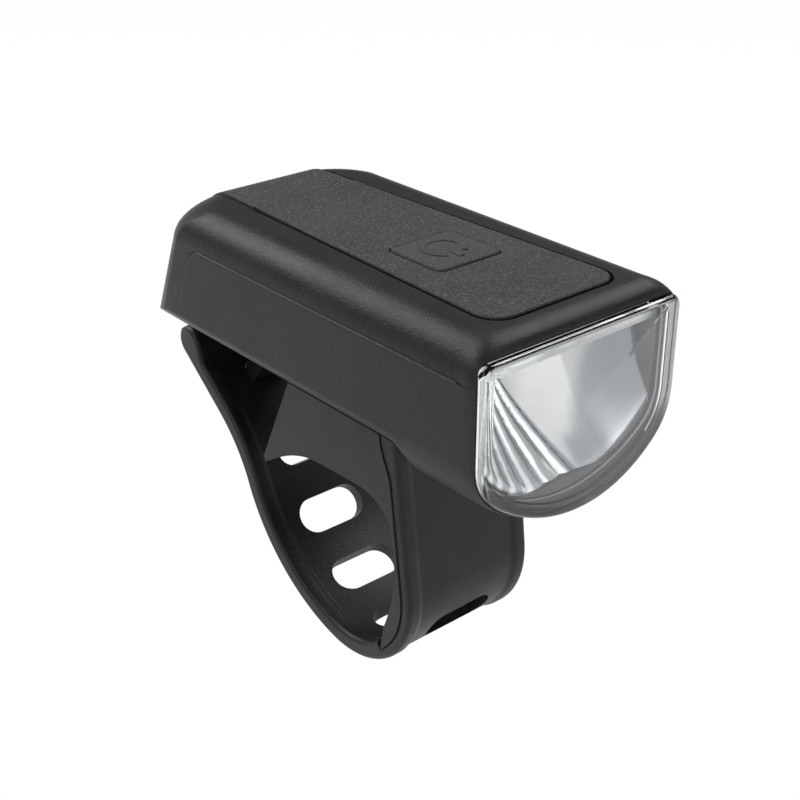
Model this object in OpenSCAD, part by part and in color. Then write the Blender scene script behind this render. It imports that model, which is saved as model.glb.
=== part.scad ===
// Bicycle headlight with a rubber handlebar strap.
// The bar runs along X through the origin, the beam leaves towards -Y, Z is up.

/* [Handlebar seat] */
// Diameter of the handlebar that the light is strapped to
bar_d = 25.4; // [22.2:0.1:28.6]
// Radial room between the bar and the seat
bar_fit = 0.05; // [0:0.01:0.1]
// Distance from the lens edge back to the bar axis
bar_back = 36.3; // [34:0.1:40]
// Rubber between the belly of the light and the top of the bar
saddle_h = 8.2; // [7.6:0.1:11]
// Width of the saddle pad along the bar
saddle_w = 25.6; // [25:0.1:29]
// Thickness of the pad where it stands between bar and strap
tongue_t = 1.4; // [1.2:0.1:2]
// Angle on the seat where the rear end of the pad leaves the bar
seat_from = 60; // [50:1:66]
// Angle on the seat where the tongue leaves the bar
seat_to = 224; // [220:1:228]
// Radius of the relieved corner between roof and tongue of the pad
relief_r = 5.6; // [4:0.1:5.8]
// Reach of the relieved corner beyond the seat
relief_out = 2; // [1.4:0.1:2.2]
// Reach of the rear lip of the pad behind the bar axis
lip_y = 20.4; // [17:0.1:22]
// Height of the rear lip of the pad above the bar axis
lip_z = 6.3; // [5:0.1:8]
// Thickness of the rear lip of the pad
lip_t = 1.5; // [1:0.1:2]
// Distance of the pad's rear top corner behind the bar axis
pad_back = 12.6; // [11:0.1:15]

/* [Strap] */
// Width of the strap
strap_w = 25.2; // [24:0.1:28]
// Thickness of the strap
strap_t = 3.2; // [2.8:0.1:3.8]
// Thickness of the strap wall in front of the pad
front_t = 1.8; // [1.6:0.1:2.4]
// Width of the raised rims of the strap
rim_w = 2.4; // [1.8:0.1:3.4]
// Depth of the web below the rims on the outside
web_out = 0.35; // [0.2:0.05:0.6]
// Depth of the web below the rims on the inside
web_in = 0.6; // [0.3:0.05:0.9]
// Drop of the loop's round below the bar axis
loop_drop = 4.2; // [3.6:0.1:5]
// Backward lean of the strap's front wall
front_lean = 7; // [5:0.5:9]
// Angle where the round below the bar ends
loop_end = 282; // [278:1:286]
// Radius of the rising rear run
rise_r = 32; // [30:0.5:36]
// Steepest angle of the rear run
rise_max = 68; // [64:1:72]
// Radius of the bend towards the hook
turn_r = 26; // [24:0.5:30]
// Angle of the strap at the hook
hook_angle = 39.5; // [36:0.5:42]
// Length of the straight end of the strap
tail_l = 13.2; // [12:0.2:14]
// Radius of the bead at the end of the strap
tail_r = 2.8; // [2.2:0.1:3]
// Distance of the slots along the strap
slot_pitch = 13; // [12.6:0.1:13.2]
// Width of a slot along the strap
slot_w = 6.2; // [5.6:0.1:6.6]
// Length of a slot across the strap
slot_l = 13; // [12:0.1:15]
// Corner radius of a slot
slot_r = 2.4; // [1.6:0.1:2.6]
// Gap where two runs of the strap meet
bend_gap = 0.3; // [0.2:0.05:0.4]

/* [Strap mount] */
// Width of the mount plate
plate_w = 22.4; // [21.6:0.1:22.8]
// Thickness of the mount plate under the belly
plate_t = 2.5; // [2.2:0.1:3]
// Front end of the mount plate, ahead of the bar axis
plate_front = 6.8; // [6:0.1:7]
// Rear end of the mount plate behind the bar axis
plate_back = 12.4; // [12:0.1:12.8]
// Thickness of the hook
hook_t = 2.8; // [2.2:0.1:3]
// Width of the hook
hook_w = 10; // [8.6:0.1:10]
// Height of the lip at the end of the hook
hook_lip = 0.6; // [0.3:0.05:0.7]
// Diameter of the steel pin in the strap's root
pin_d = 1.6; // [1.4:0.1:2]
// Radius of the bead at the strap's root
root_r = 2; // [1.8:0.1:2.2]
// Distance of the root pin ahead of the bar axis
root_y = 9.3; // [9.2:0.1:9.8]
// Width of the bead at the strap's root
root_w = 17; // [15:0.1:17.4]
// Thickness of each ear that holds the root pin
ear_t = 1.8; // [1.4:0.1:2]

/* [Casing] */
// Width over the lower shell
body_w = 39; // [38.4:0.1:42]
// Step from the lower shell in to the upper shell
side_step = 0.3; // [0.1:0.05:0.5]
// Length of the deck from the lens edge to the corner with the rear face
deck_l = 73.6; // [72:0.1:75]
// Height of the deck above the top edge of the lens
deck_h = 2.36; // [2.2:0.02:3]
// Rounding of the long deck edges
deck_r = 5.5; // [4:0.1:6]
// Rounding of the rear deck edge
rear_r = 9; // [7:0.1:10]
// Rounding of the rear corners in plan
plan_r = 10; // [8:0.1:11]
// Lean of the rear face
rear_lean = 23; // [18:1:26]
// Height of the rear corner below the top edge of the lens
rear_drop = 16.2; // [15:0.1:17]
// Rounding of the rear corner
corner_r = 1.8; // [1:0.1:2.4]
// Radius of the round belly
belly_r = 25; // [25:0.1:27]
// Depth of the belly below the top edge of the lens
belly_depth = 25.5; // [25:0.1:27]
// Length of the belly from the lens edge
belly_l = 66.5; // [65.5:0.1:69]
// Rounding of the lower side edges
edge_r = 1.6; // [1:0.1:2.4]
// Extra depth of the nose
nose_drop = 1.4; // [1.2:0.1:2]
// Length of the full nose
nose_l = 13.6; // [13:0.1:14.4]
// Length of the slope behind the nose
nose_slope = 4; // [3:0.1:4.4]
// Height of the parting line below the top edge of the lens
part_drop = 3.3; // [3:0.1:4]
// Length of the parting line to its rear corner
part_l = 64.8; // [63:0.1:65]
// Rear end of the parting line at the belly
part_end = 70.6; // [70:0.1:71]
// Rounding of the rear corner of the parting line
part_r = 3.5; // [2:0.1:5]
// Gap in the parting line
part_gap = 0.05; // [0.02:0.01:0.1]
// Wall of the shells
wall = 1.8; // [1.6:0.1:2]
// Thickness of the roof and the rear wall
roof_t = 2.6; // [2.5:0.05:3]

/* [Lens and reflector] */
// Lip of the casing beside the lens
lens_lip = 0.6; // [0.4:0.05:0.8]
// Room around the lens
lens_gap = 0.1; // [0.05:0.01:0.15]
// Corner radius at the top of the lens
lens_top_r = 2; // [1.2:0.1:2.6]
// Corner radius at the bottom of the lens
lens_low_r = 9; // [8:0.1:10]
// Forward bulge of the lens
lens_bulge = 1.5; // [0.8:0.1:2]
// Stand of the lens edge ahead of the casing
lens_proud = 0.3; // [0:0.05:0.5]
// Thickness of the lens window
lens_t = 2; // [1.6:0.1:2.2]
// Depth of the lens rim behind the casing edge
rim_depth = 2.1; // [1.9:0.05:2.5]
// Width of the lens rim
rim_face = 1.7; // [1.4:0.1:1.9]
// Thickness of the lens seal
seal_t = 0.5; // [0.4:0.05:0.8]
// Width of the shelf behind the lens
shelf_w = 1.8; // [1.6:0.1:2.2]
// Focal length of the reflector
focus_f = 8.6; // [8:0.1:9]
// Depth of the reflector's vertex behind the lens edge
bowl_y = 15; // [14.6:0.1:15.4]
// Thickness of the reflector
bowl_t = 1.2; // [1:0.1:1.4]
// Height of the matt apron above the lowest point of the nose's hollow
apron_h = 1.7; // [1.3:0.1:2.7]
// Thickness of the heat sink
sink_t = 1.5; // [1.2:0.1:1.6]
// Length of the heat sink
sink_l = 13.2; // [12.8:0.1:13.4]
// Width of the heat sink
sink_w = 30; // [29.4:0.1:30.4]
// Thickness of the lamp board
lamp_t = 1; // [0.8:0.1:1.1]
// Size of the lamp chip
chip_w = 3.5; // [3:0.1:4]
// Height of the lamp chip
chip_t = 0.6; // [0.5:0.05:0.8]
// Width of the lamp board
lamp_w = 16; // [14:0.1:17]
// Length of the lamp board
lamp_l = 8.4; // [8:0.1:8.8]
// Diameter of the lamp leads
lead_d = 0.7; // [0.5:0.05:0.8]
// Distance of the lamp leads from the middle
lead_x = 3; // [2:0.1:6]

/* [Top pad and button] */
// Thickness of the rubber below the deck
pad_in = 1.3; // [1.1:0.05:1.4]
// Stand of the rubber above the deck
pad_out = 0.25; // [0.1:0.05:0.4]
// Front edge of the pad behind the lens edge
pad_y = 4.6; // [4:0.1:6]
// Width of the pad at its front edge
pad_w = 24.2; // [23:0.1:24.8]
// Taper of each side of the pad per length
pad_taper = 0.039; // [0.02:0.001:0.045]
// Corner radius of the pad
pad_r = 3.5; // [2.5:0.1:4.5]
// Room around the pad
pad_gap = 0.2; // [0.15:0.01:0.3]
// Place of the split between pad and port cover
cover_y = 60.4; // [59:0.1:61]
// Lower end of the port cover below the lens top edge
cover_low = 11; // [10:0.1:12]
// Width of the button
button_w = 12; // [10:0.1:13]
// Length of the button
button_l = 11.2; // [10:0.1:12]
// Place of the button's centre behind the lens edge
button_y = 27.2; // [26:0.1:29]
// Corner radius of the button
button_r = 1.6; // [1:0.1:2.4]
// Stand of the button above the deck
button_out = 0.65; // [0.5:0.05:0.9]
// Room around the button
button_gap = 0.25; // [0.2:0.01:0.4]
// Travel of the button
button_travel = 0.5; // [0.3:0.05:0.5]
// Diameter of the button's stem
stem_d = 4; // [3:0.1:4.4]

/* [Electronics] */
// Width of the main board
board_w = 22.8; // [22:0.1:23.4]
// Thickness of the main board
board_t = 1; // [0.8:0.1:1.2]
// Height of the switch body
switch_h = 1.6; // [1.4:0.05:1.7]
// Size of the switch body
switch_w = 5; // [4.4:0.1:6]
// Diameter of the switch plunger
plunger_d = 2.4; // [2:0.1:2.8]
// Height of the plunger above the switch body
plunger_h = 0.6; // [0.55:0.05:0.8]
// Radial room of the plunger
plunger_fit = 0.08; // [0.05:0.01:0.12]
// Width of the port
port_w = 8.94; // [8.6:0.02:9.2]
// Height of the port
port_h = 3.2; // [3:0.05:3.3]
// Length of the port
port_l = 7.3; // [6.8:0.1:7.8]
// Wall of the port's shell
port_t = 0.35; // [0.25:0.05:0.4]
// Room between the battery cell and the belly
cell_room = 1.15; // [1.15:0.05:1.8]
// Room between the battery cell and the main board
cell_drop = 0.35; // [0.3:0.05:0.6]
// Length of the battery cell
cell_l = 36; // [34:0.1:37]
// Front end of the cell behind the lens edge
cell_y = 18.6; // [18.4:0.1:19]
// Room around the cell
cell_gap = 0.15; // [0.1:0.01:0.2]
// Width of the strips on the cell ends
strip_w = 6; // [4:0.1:8]
// Thickness of the strips on the cell ends
strip_t = 0.3; // [0.2:0.05:0.4]

/* [Fasteners] */
// Diameter of the shell screws
shell_screw_d = 2.4; // [2.2:0.1:2.6]
// Distance of the shell screws from the middle
shell_screw_x = 14.5; // [14.3:0.1:14.6]
// Place of the front shell screws behind the lens edge
shell_screw_front = 24; // [23:0.1:25]
// Place of the rear shell screws behind the lens edge
shell_screw_back = 58; // [57:0.1:58.6]
// Diameter of the small screws
small_screw_d = 2; // [1.8:0.1:2.2]
// Distance of the board screws from the middle
board_screw_x = 9.5; // [9.4:0.1:9.8]
// Place of the front board screws behind the lens edge
board_screw_front = 21.8; // [21.6:0.1:22.2]
// Place of the rear board screws behind the lens edge
board_screw_back = 57.5; // [56.6:0.1:58]
// Distance of the reflector screws from the middle
sink_screw_x = 13; // [12.9:0.1:13.4]
// Distance of the plate screws from the middle
plate_screw_x = 9; // [8.8:0.1:9.1]
// Place of the front plate screws ahead of the bar axis
plate_screw_front = 1; // [0.4:0.1:1.6]
// Place of the rear plate screws behind the bar axis
plate_screw_back = 8.5; // [8:0.1:9]
// Room between the plate screw posts and the cell
post_gap = 0.25; // [0.2:0.05:0.6]
// Room around a screw
screw_gap = 0.05; // [0.03:0.01:0.1]

/* [Hidden] */
$fn = 96;
eps = 0.02;
slot_n = 6;
seat_r = bar_d / 2 + bar_fit;
bar_drop = belly_depth + saddle_h + seat_r;
lap_gap = 0.1;
belly_gap = 0.6;

// section of the casing
half_l = body_w / 2;
half_u = half_l - side_step;
half_in = half_u - wall;
belly_c = belly_r - belly_depth;
nose_c = belly_c - nose_drop;
nose_r = belly_r + lens_lip;
roof_z = deck_h - roof_t;
nose_edge_r = lens_low_r + lens_lip;

// lens
lens_half = half_l - lens_lip;
lens_dome = (lens_half * lens_half + lens_bulge * lens_bulge) / (2 * lens_bulge);
shelf_y = rim_depth + seal_t;
cave_half = lens_half - shelf_w;
cave_r = belly_r - shelf_w;
cave_top = -0.6;
cave_low_r = lens_low_r - shelf_w;
bowl_low = cave_r - nose_c - apron_h;

// lamp stack under the nose roof
sink_z = cave_top - 0.05 - sink_t;
lamp_z = sink_z - lamp_t;
bowl_z = lamp_z - chip_t;
bowl_top = lamp_z - 0.15;
lamp_y = bowl_y - focus_f;
sink_y = shelf_y + 0.6;
lamp_front = sink_y + 0.3;
sink_screw_y = sink_y + sink_l - 2;
tab_t = 1.4;

// deck rubber and button
pad_floor = deck_h - pad_in;
button_low = pad_floor + button_travel + 0.1;
stem_low = roof_z - 0.26;

// board and switch
plunger_top = stem_low - 0.1;
board_top = plunger_top - plunger_h - switch_h;
board_low = board_top - board_t;
board_y = cell_y + 0.6;
chip_y = button_y + 8.8;
cap_y = chip_y + 8;
cell_d = board_low - cell_drop + belly_depth - wall - cell_room;
cell_z = board_low - cell_drop - cell_d / 2;

// rear profile, in the casing's own side view
rear_n = [cos(rear_lean), sin(rear_lean)];
rear_c = [deck_l - rear_r * (1 - sin(rear_lean)) / cos(rear_lean), deck_h - rear_r];
rear_p = [deck_l + (deck_h + rear_drop) * tan(rear_lean), -rear_drop];
belly_end = [belly_l, -belly_depth - 1];
// place of the rear face at a height, moved inwards by d
function rear_at(z, d) = rear_p[0] - (z + rear_drop) * tan(rear_lean) - d / cos(rear_lean);
board_end = rear_at(board_top, roof_t) - 0.8;
port_end = rear_at(board_low, pad_in) - 0.1;
plug_w = port_w - 2 * port_t - 1.04;
plug_h = port_h - 2 * port_t - 0.7;

// screws
shell_boss_d = shell_screw_d + 3;
boss_split = -6;
shell_seat_z = -11;
small_head_d = small_screw_d + 1.7;
small_head_h = 1.3;
shell_head_d = shell_screw_d + 2;
shell_head_h = 1.8;
post_r = small_screw_d / 2 + 1.3;
post_h = belly_depth + cell_z - sqrt(pow(cell_d / 2, 2) - pow(plate_screw_x - post_r, 2)) - post_gap;

// route of the strap's outer face, by arc length from the start of its round
loop_r = seat_r + tongue_t + lap_gap + front_t;
loop_c = [0, -loop_drop];
loop_from = 180 - front_lean;
rise_from = loop_end - 270;
loop_p0 = loop_c + loop_r * [cos(loop_from), sin(loop_from)];
loop_p1 = loop_c + loop_r * [cos(loop_end), sin(loop_end)];
rise_c = loop_p1 + rise_r * [-sin(rise_from), cos(rise_from)];
rise_p = rise_c + rise_r * [sin(rise_max), -cos(rise_max)];
turn_c = rise_p - turn_r * [-sin(rise_max), cos(rise_max)];
turn_p = turn_c - turn_r * [sin(hook_angle), -cos(hook_angle)];
loop_s = loop_r * (loop_end - loop_from) * PI / 180;
rise_s = loop_s + rise_r * (rise_max - rise_from) * PI / 180;
turn_s = rise_s + turn_r * (rise_max - hook_angle) * PI / 180;
tail_s = turn_s + tail_l;
hook_s = slot_pitch * slot_n;
bend_a = slot_pitch * 1.5;
bend_b = slot_pitch * 3.5;
tongue_s = slot_pitch * 1.2;
thin_s = tongue_s + 0.6;
root_z = bar_drop - belly_depth - 2.3;

function heading(s) =
    s < 0 ? loop_from + 90 :
    s < loop_s ? loop_from + 90 + s / loop_r * 180 / PI :
    s < rise_s ? 360 + rise_from + (s - loop_s) / rise_r * 180 / PI :
    s < turn_s ? 360 + rise_max - (s - rise_s) / turn_r * 180 / PI :
    360 + hook_angle;
function route(s) =
    let (h = heading(s))
    s < 0 ? loop_p0 + s * [cos(h), sin(h)] :
    s < loop_s ? loop_c + loop_r * [sin(h), -cos(h)] :
    s < rise_s ? rise_c + rise_r * [sin(h), -cos(h)] :
    s < turn_s ? turn_c - turn_r * [sin(h), -cos(h)] :
    turn_p + (s - turn_s) * [cos(h), sin(h)];
function inward(s) = [-sin(heading(s)), cos(heading(s))];
function on_strap(s, depth) = route(s) + depth * inward(s);
function run(from, to, depth, n) =
    [for (i = [0 : n]) on_strap(from + (to - from) * i / n, depth)];
function backwards(list) = [for (i = [len(list) - 1 : -1 : 0]) list[i]];
function steps(from, to) = max(2, ceil(abs(to - from) / 1.6));
function unit(v) = v / norm(v);
function arc(c, r, a0, a1, n) =
    [for (i = [0 : n]) let (a = a0 + (a1 - a0) * i / n) c + r * [cos(a), sin(a)]];
// rounded corner at b between a and c
function corner(a, b, c, r, n = 8) =
    let (u = unit(a - b), v = unit(c - b), half = acos(u * v) / 2,
         o = b + unit(u + v) * r / sin(half),
         p = b + u * r / tan(half) - o, q = b + v * r / tan(half) - o,
         a0 = atan2(p[1], p[0]), d = atan2(q[1], q[0]) - a0,
         turn = d > 180 ? d - 360 : d < -180 ? d + 360 : d)
    arc(o, r, a0, a0 + turn, n);

// Places the casing on the bar
module at_body() { translate([0, -bar_back, bar_drop]) children(); }
// Extrudes an outline in x, z along y
module along_y(y0, y1) { translate([0, y1, 0]) rotate([90, 0, 0]) linear_extrude(y1 - y0) children(); }
// Extrudes an outline in y, z evenly along x
module along_x(w) { rotate([90, 0, 90]) linear_extrude(w, center = true) children(); }
// Mirrored pair
module pair() { for (s = [0, 1]) mirror([s, 0, 0]) children(); }

// Flat top, upright sides and a round belly
module section(half, top, top_r, c, r, low_r) {
    o = [half - low_r, c - sqrt(pow(r - low_r, 2) - pow(half - low_r, 2))];
    a = atan2(o[1] - c, o[0]);
    right = concat(
        arc([0, c], r, -90, a, 14),
        arc(o, low_r, a, 0, 5),
        arc([half - top_r, top - top_r], top_r, 0, 90, 8));
    polygon(concat(right, [for (q = backwards(right)) if (q[0] > eps) [-q[0], q[1]]]));
}
module rear_section(half) { section(half, deck_h, deck_r, belly_c, belly_r, edge_r); }
module nose_section(half) { section(half, deck_h, deck_r, nose_c, nose_r, nose_edge_r); }
module lens_section(grow) {
    section(lens_half + grow, grow, lens_top_r + max(grow, -1.2), nose_c, belly_r + grow,
            lens_low_r + max(grow, -2.5));
}
module cave_section(grow) {
    section(cave_half + grow, cave_top + grow, 1.4, nose_c, cave_r + grow, cave_low_r);
}

// Side view of the casing, moved inwards by d
module side_view(d) {
    e = rear_p - d * [1, 0] / cos(rear_lean);
    polygon(concat(
        [[-5, -40], [-5, deck_h - d]],
        backwards(arc(rear_c, rear_r - d, rear_lean, 90, 10)),
        corner(rear_c + (rear_r - d) * rear_n, e, belly_end - d * [1, 0], max(corner_r - d / 2, 0.4)),
        [belly_end - d * [1, 0], [belly_l - d, -40]]));
}
// Side view of what belongs to the lower shell
module lower_view(d) {
    a = [-8, -part_drop - d];
    b = [part_l - d, -part_drop - d];
    c = [part_end - d, -rear_drop - 1];
    polygon(concat([[-8, -60], a], corner(a, b, c, part_r), [c, [part_end - d, -60]]));
}
module lens_pocket() { along_y(-6, rim_depth + seal_t) lens_section(lens_gap); }
// Reach of the rounded rear corner at a height, in the direction a from the side, moved inwards by d
function deck_inset(z) = z > deck_h - deck_r
    ? deck_r - sqrt(max(deck_r * deck_r - pow(z - deck_h + deck_r, 2), 0)) : 0;
function corner_at(z, a, d) = (half_l - plan_r) * cos(a) + (rear_at(z, 0) - plan_r) * sin(a)
    + plan_r - d - deck_inset(z);
// What is taken off the rear corners, with the rounding of the deck carried round them
module corner_cuts(d) {
    n = 6;
    levels = concat([for (i = [1 : n]) deck_h - deck_r * (1 - cos(90 * i / n))], [-45]);
    for (a = [15 : 15 : 75]) pair() rotate(a) along_y(-70, 70) polygon(concat(
        [[corner_at(deck_h, a, d), deck_h + eps]],
        [for (z = levels) [corner_at(z, a, d), z]],
        [[140, -45], [140, deck_h + 8]]));
}
module rear_cave() {
    difference() {
        intersection() {
            along_y(nose_l - eps, 90)
                section(half_in, roof_z, deck_r - wall, belly_c, belly_r - wall, 1);
            along_x(60) side_view(roof_t);
        }
        corner_cuts(roof_t);
    }
}
module nose_cave() { along_y(shelf_y - eps, nose_l) cave_section(0); }
module shell_body(half) {
    difference() {
        intersection() {
            union() {
                along_y(0, nose_l) nose_section(half);
                hull() {
                    along_y(nose_l - eps, nose_l) nose_section(half, $fn = 48);
                    along_y(nose_l + nose_slope, nose_l + nose_slope + eps) rear_section(half, $fn = 48);
                }
                along_y(nose_l + nose_slope, 90) rear_section(half);
            }
            along_x(60) side_view(0);
        }
        corner_cuts(0);
    }
}

// Outline of the deck rubber in plan, grown by g
module pad_plan(g) {
    wa = pad_w / 2 + g;
    l = 100 - pad_y;
    wb = wa - pad_taper * l;
    y0 = pad_y - g;
    translate([0, 0, -60]) linear_extrude(120) polygon(concat(
        corner([-wb, 100], [-wa, y0], [wa, y0], pad_r + g),
        corner([-wa, y0], [wa, y0], [wb, 100], pad_r + g),
        [[wb, 100], [-wb, 100]]));
}
// Face of the deck and the rear, raised by o, as a line in the side view
function skin(from, low, o) = concat(
    [[from, deck_h + o]],
    backwards(arc(rear_c, rear_r + o, rear_lean, 90, 10)),
    [rear_c + (rear_r + o) * rear_n + [tan(rear_lean), -1] * (rear_c[1] + (rear_r + o) * rear_n[1] + low)]);
module skin_band(from, low, o0, o1) {
    along_x(60) polygon(concat(skin(from, low, o1), backwards(skin(from, low, o0))));
}
module rounded(w, l, r) {
    a = w / 2 - r;
    b = l / 2 - r;
    polygon(concat(arc([a, b], r, 0, 90, 8), arc([-a, b], r, 90, 180, 8),
        arc([-a, -b], r, 180, 270, 8), arc([a, -b], r, 270, 360, 8)));
}
module at_shell_screws() {
    for (x = [-1, 1], y = [shell_screw_front, shell_screw_back]) translate([x * shell_screw_x, y, 0]) children();
}
module at_board_screws() {
    for (x = [-1, 1], y = [board_screw_front, board_screw_back]) translate([x * board_screw_x, y, 0]) children();
}
module at_sink_screws() {
    for (x = [-1, 1]) translate([x * sink_screw_x, sink_screw_y, 0]) children();
}
module at_plate_screws() {
    for (x = [-1, 1], y = [-plate_screw_front, plate_screw_back]) translate([x * plate_screw_x, y, 0]) children();
}
// Screw along Z with its head below z
module screw(z, top, d, head_d, head_h) {
    translate([0, 0, z - eps]) cylinder(d = d, h = top - z + eps);
    difference() {
        translate([0, 0, z - head_h]) cylinder(d = head_d, h = head_h);
        translate([0, 0, z - head_h - eps]) cylinder(d = head_d * 0.45, h = head_h * 0.5, $fn = 6);
    }
}

// Upper shell: deck, rear wall and the places of rubber, board and screws
module upper_shell() {
    color([0.17, 0.17, 0.18]) at_body() difference() {
        union() {
            difference() {
                shell_body(half_u);
                along_x(60) lower_view(0);
                lens_pocket();
                nose_cave();
                rear_cave();
            }
            at_board_screws() translate([0, 0, board_top]) cylinder(d = small_screw_d + 2.4, h = roof_z - board_top + eps);
            at_shell_screws() translate([0, 0, boss_split]) cylinder(d = shell_boss_d, h = roof_z - boss_split + eps);
        }
        intersection() {
            skin_band(0, cover_low + pad_gap, -pad_in, 4);
            pad_plan(pad_gap);
        }
        translate([0, button_y, roof_z - 1]) cylinder(d = stem_d + 2 * button_gap, h = roof_t + 2);
        translate([-(port_w / 2 + 0.2), 60, board_low - port_h - 0.2]) cube([port_w + 0.4, 20, port_h + 0.25]);
        at_board_screws() translate([0, 0, board_top - 1]) cylinder(d = small_screw_d + 2 * screw_gap, h = 1 - board_top + 0.3);
        at_shell_screws() translate([0, 0, boss_split - 1]) cylinder(d = shell_screw_d + 2 * screw_gap, h = 1 - boss_split - 1.2);
        at_sink_screws() translate([0, 0, sink_z]) cylinder(d = small_screw_d + 2 * screw_gap, h = 0.9 - sink_z);
    }
}

// Lower shell: nose, sides and belly with the screw posts
module lower_shell() {
    color([0.19, 0.19, 0.2]) at_body() difference() {
        union() {
            difference() {
                intersection() {
                    shell_body(half_l);
                    along_x(60) lower_view(part_gap);
                }
                lens_pocket();
                nose_cave();
                rear_cave();
            }
            intersection() {
                union() {
                    at_shell_screws() translate([0, 0, -40]) cylinder(d = shell_boss_d, h = 40 + boss_split - part_gap);
                    translate([0, bar_back, 0]) at_plate_screws() translate([0, 0, -40])
                        cylinder(r = post_r, h = 40 - belly_depth + post_h);
                }
                along_y(nose_l + nose_slope, 90) section(half_in + eps, roof_z, 1, belly_c, belly_r - wall + eps, 1);
            }
        }
        at_shell_screws() {
            translate([0, 0, -40]) cylinder(d = shell_head_d + 0.4, h = 40 + shell_seat_z);
            translate([0, 0, -30]) cylinder(d = shell_screw_d + 2 * screw_gap, h = 30);
        }
        translate([0, bar_back, 0]) at_plate_screws() translate([0, 0, -40])
            cylinder(d = small_screw_d + 2 * screw_gap, h = 40 - belly_depth + post_h - 0.8);
    }
}

// Clear cover with a deeper rim
module front_lens() {
    color([0.86, 0.9, 0.92, 0.4]) at_body() difference() {
        intersection() {
            along_y(-6, rim_depth) lens_section(0);
            translate([0, lens_dome - lens_bulge - lens_proud, -40]) cylinder(r = lens_dome, h = 60);
        }
        intersection() {
            along_y(-4, rim_depth + 1) lens_section(-rim_face);
            translate([0, lens_dome - lens_bulge - lens_proud, -40]) cylinder(r = lens_dome - lens_t, h = 60);
        }
    }
}
// Ring between lens and shelf
module lens_seal() {
    color([0.08, 0.08, 0.08]) at_body() difference() {
        along_y(rim_depth + 0.02, shelf_y - 0.02) lens_section(-0.15);
        along_y(rim_depth - 1, shelf_y + 1) lens_section(-rim_face + 0.15);
    }
}
// Bowl of the reflector with its screw tabs
module reflector() {
    n = 24;
    rho = 26;
    color([0.85, 0.86, 0.88]) at_body() difference() {
        union() {
            intersection() {
                translate([0, bowl_y, bowl_z]) rotate([90, 0, 0]) rotate_extrude() polygon(concat(
                    [for (i = [0 : n]) let (r = rho * i / n) [r, r * r / (4 * focus_f)]],
                    [for (i = [n : -1 : 0]) let (r = rho * i / n) [r, r * r / (4 * focus_f) - bowl_t]]));
                along_y(shelf_y + 0.1, 30) cave_section(-0.15);
                translate([-30, 0, -bowl_low]) cube([60, 40, bowl_low + bowl_top]);
            }
            pair() translate([sink_screw_x - 3, lamp_y + 5.6, sink_z - 0.05 - tab_t])
                cube([5.4, sink_y + sink_l - lamp_y - 5.6, tab_t]);
        }
        at_sink_screws() translate([0, 0, sink_z - 5]) cylinder(d = small_screw_d + 2 * screw_gap, h = 8);
    }
}
// Matt floor under the reflector
module reflector_apron() {
    color([0.42, 0.43, 0.44]) at_body() intersection() {
        along_y(shelf_y + 0.1, nose_l - 1) cave_section(-0.05);
        translate([-30, 0, -60]) cube([60, 40, 60 - bowl_low - 0.05]);
    }
}
// Aluminium plate over the lamp board
module heat_sink() {
    color([0.7, 0.71, 0.73]) at_body() difference() {
        translate([-sink_w / 2, sink_y, sink_z]) cube([sink_w, sink_l, sink_t]);
        at_sink_screws() translate([0, 0, sink_z - 1]) cylinder(d = small_screw_d + 2 * screw_gap, h = 5);
    }
}
module led_board() {
    color([0.92, 0.92, 0.9]) at_body() translate([-lamp_w / 2, lamp_front, lamp_z]) cube([lamp_w, lamp_l, lamp_t - eps]);
}
module led_emitter() {
    color([0.95, 0.85, 0.35]) at_body() translate([0, lamp_y, lamp_z - eps]) {
        translate([-chip_w / 2, -chip_w / 2, -chip_t + eps]) cube([chip_w, chip_w, chip_t - eps]);
        translate([0, 0, -chip_t + eps]) intersection() {
            sphere(d = chip_w * 0.8);
            translate([-5, -5, -10]) cube([10, 10, 10 + eps]);
        }
    }
}
// Two leads from the lamp board to the main board
module led_leads() {
    y0 = lamp_front + lamp_l;
    color([0.65, 0.12, 0.1]) at_body() pair() translate([lead_x, y0 + eps, sink_z - 0.1 - lead_d / 2])
        rotate([-90, 0, 0]) cylinder(d = lead_d, h = board_y - y0 - 2 * eps);
}
module main_board() {
    color([0.1, 0.3, 0.16]) at_body() difference() {
        translate([-board_w / 2, board_y, board_low]) cube([board_w, board_end - board_y, board_t - eps]);
        at_board_screws() translate([0, 0, board_low - 1]) cylinder(d = small_screw_d + 2 * screw_gap, h = board_t + 2);
    }
}
module driver_chip() {
    color([0.07, 0.07, 0.08]) at_body() translate([-8.5, chip_y, board_top + eps]) cube([5, 5, 0.9]);
}
module choke_coil() {
    color([0.3, 0.3, 0.31]) at_body() translate([3.2, chip_y, board_top + eps]) difference() {
        cube([5, 5, 1.9]);
        for (x = [0, 5], y = [0, 5]) translate([x, y, -1]) rotate(45) cube([1.2, 1.2, 8], center = true);
    }
}
module capacitors() {
    color([0.72, 0.6, 0.42]) at_body() for (i = [0 : 2])
        translate([-7.6 + 2.4 * i, cap_y, board_top + eps]) cube([1.6, 3.2, 1.4]);
}
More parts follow.
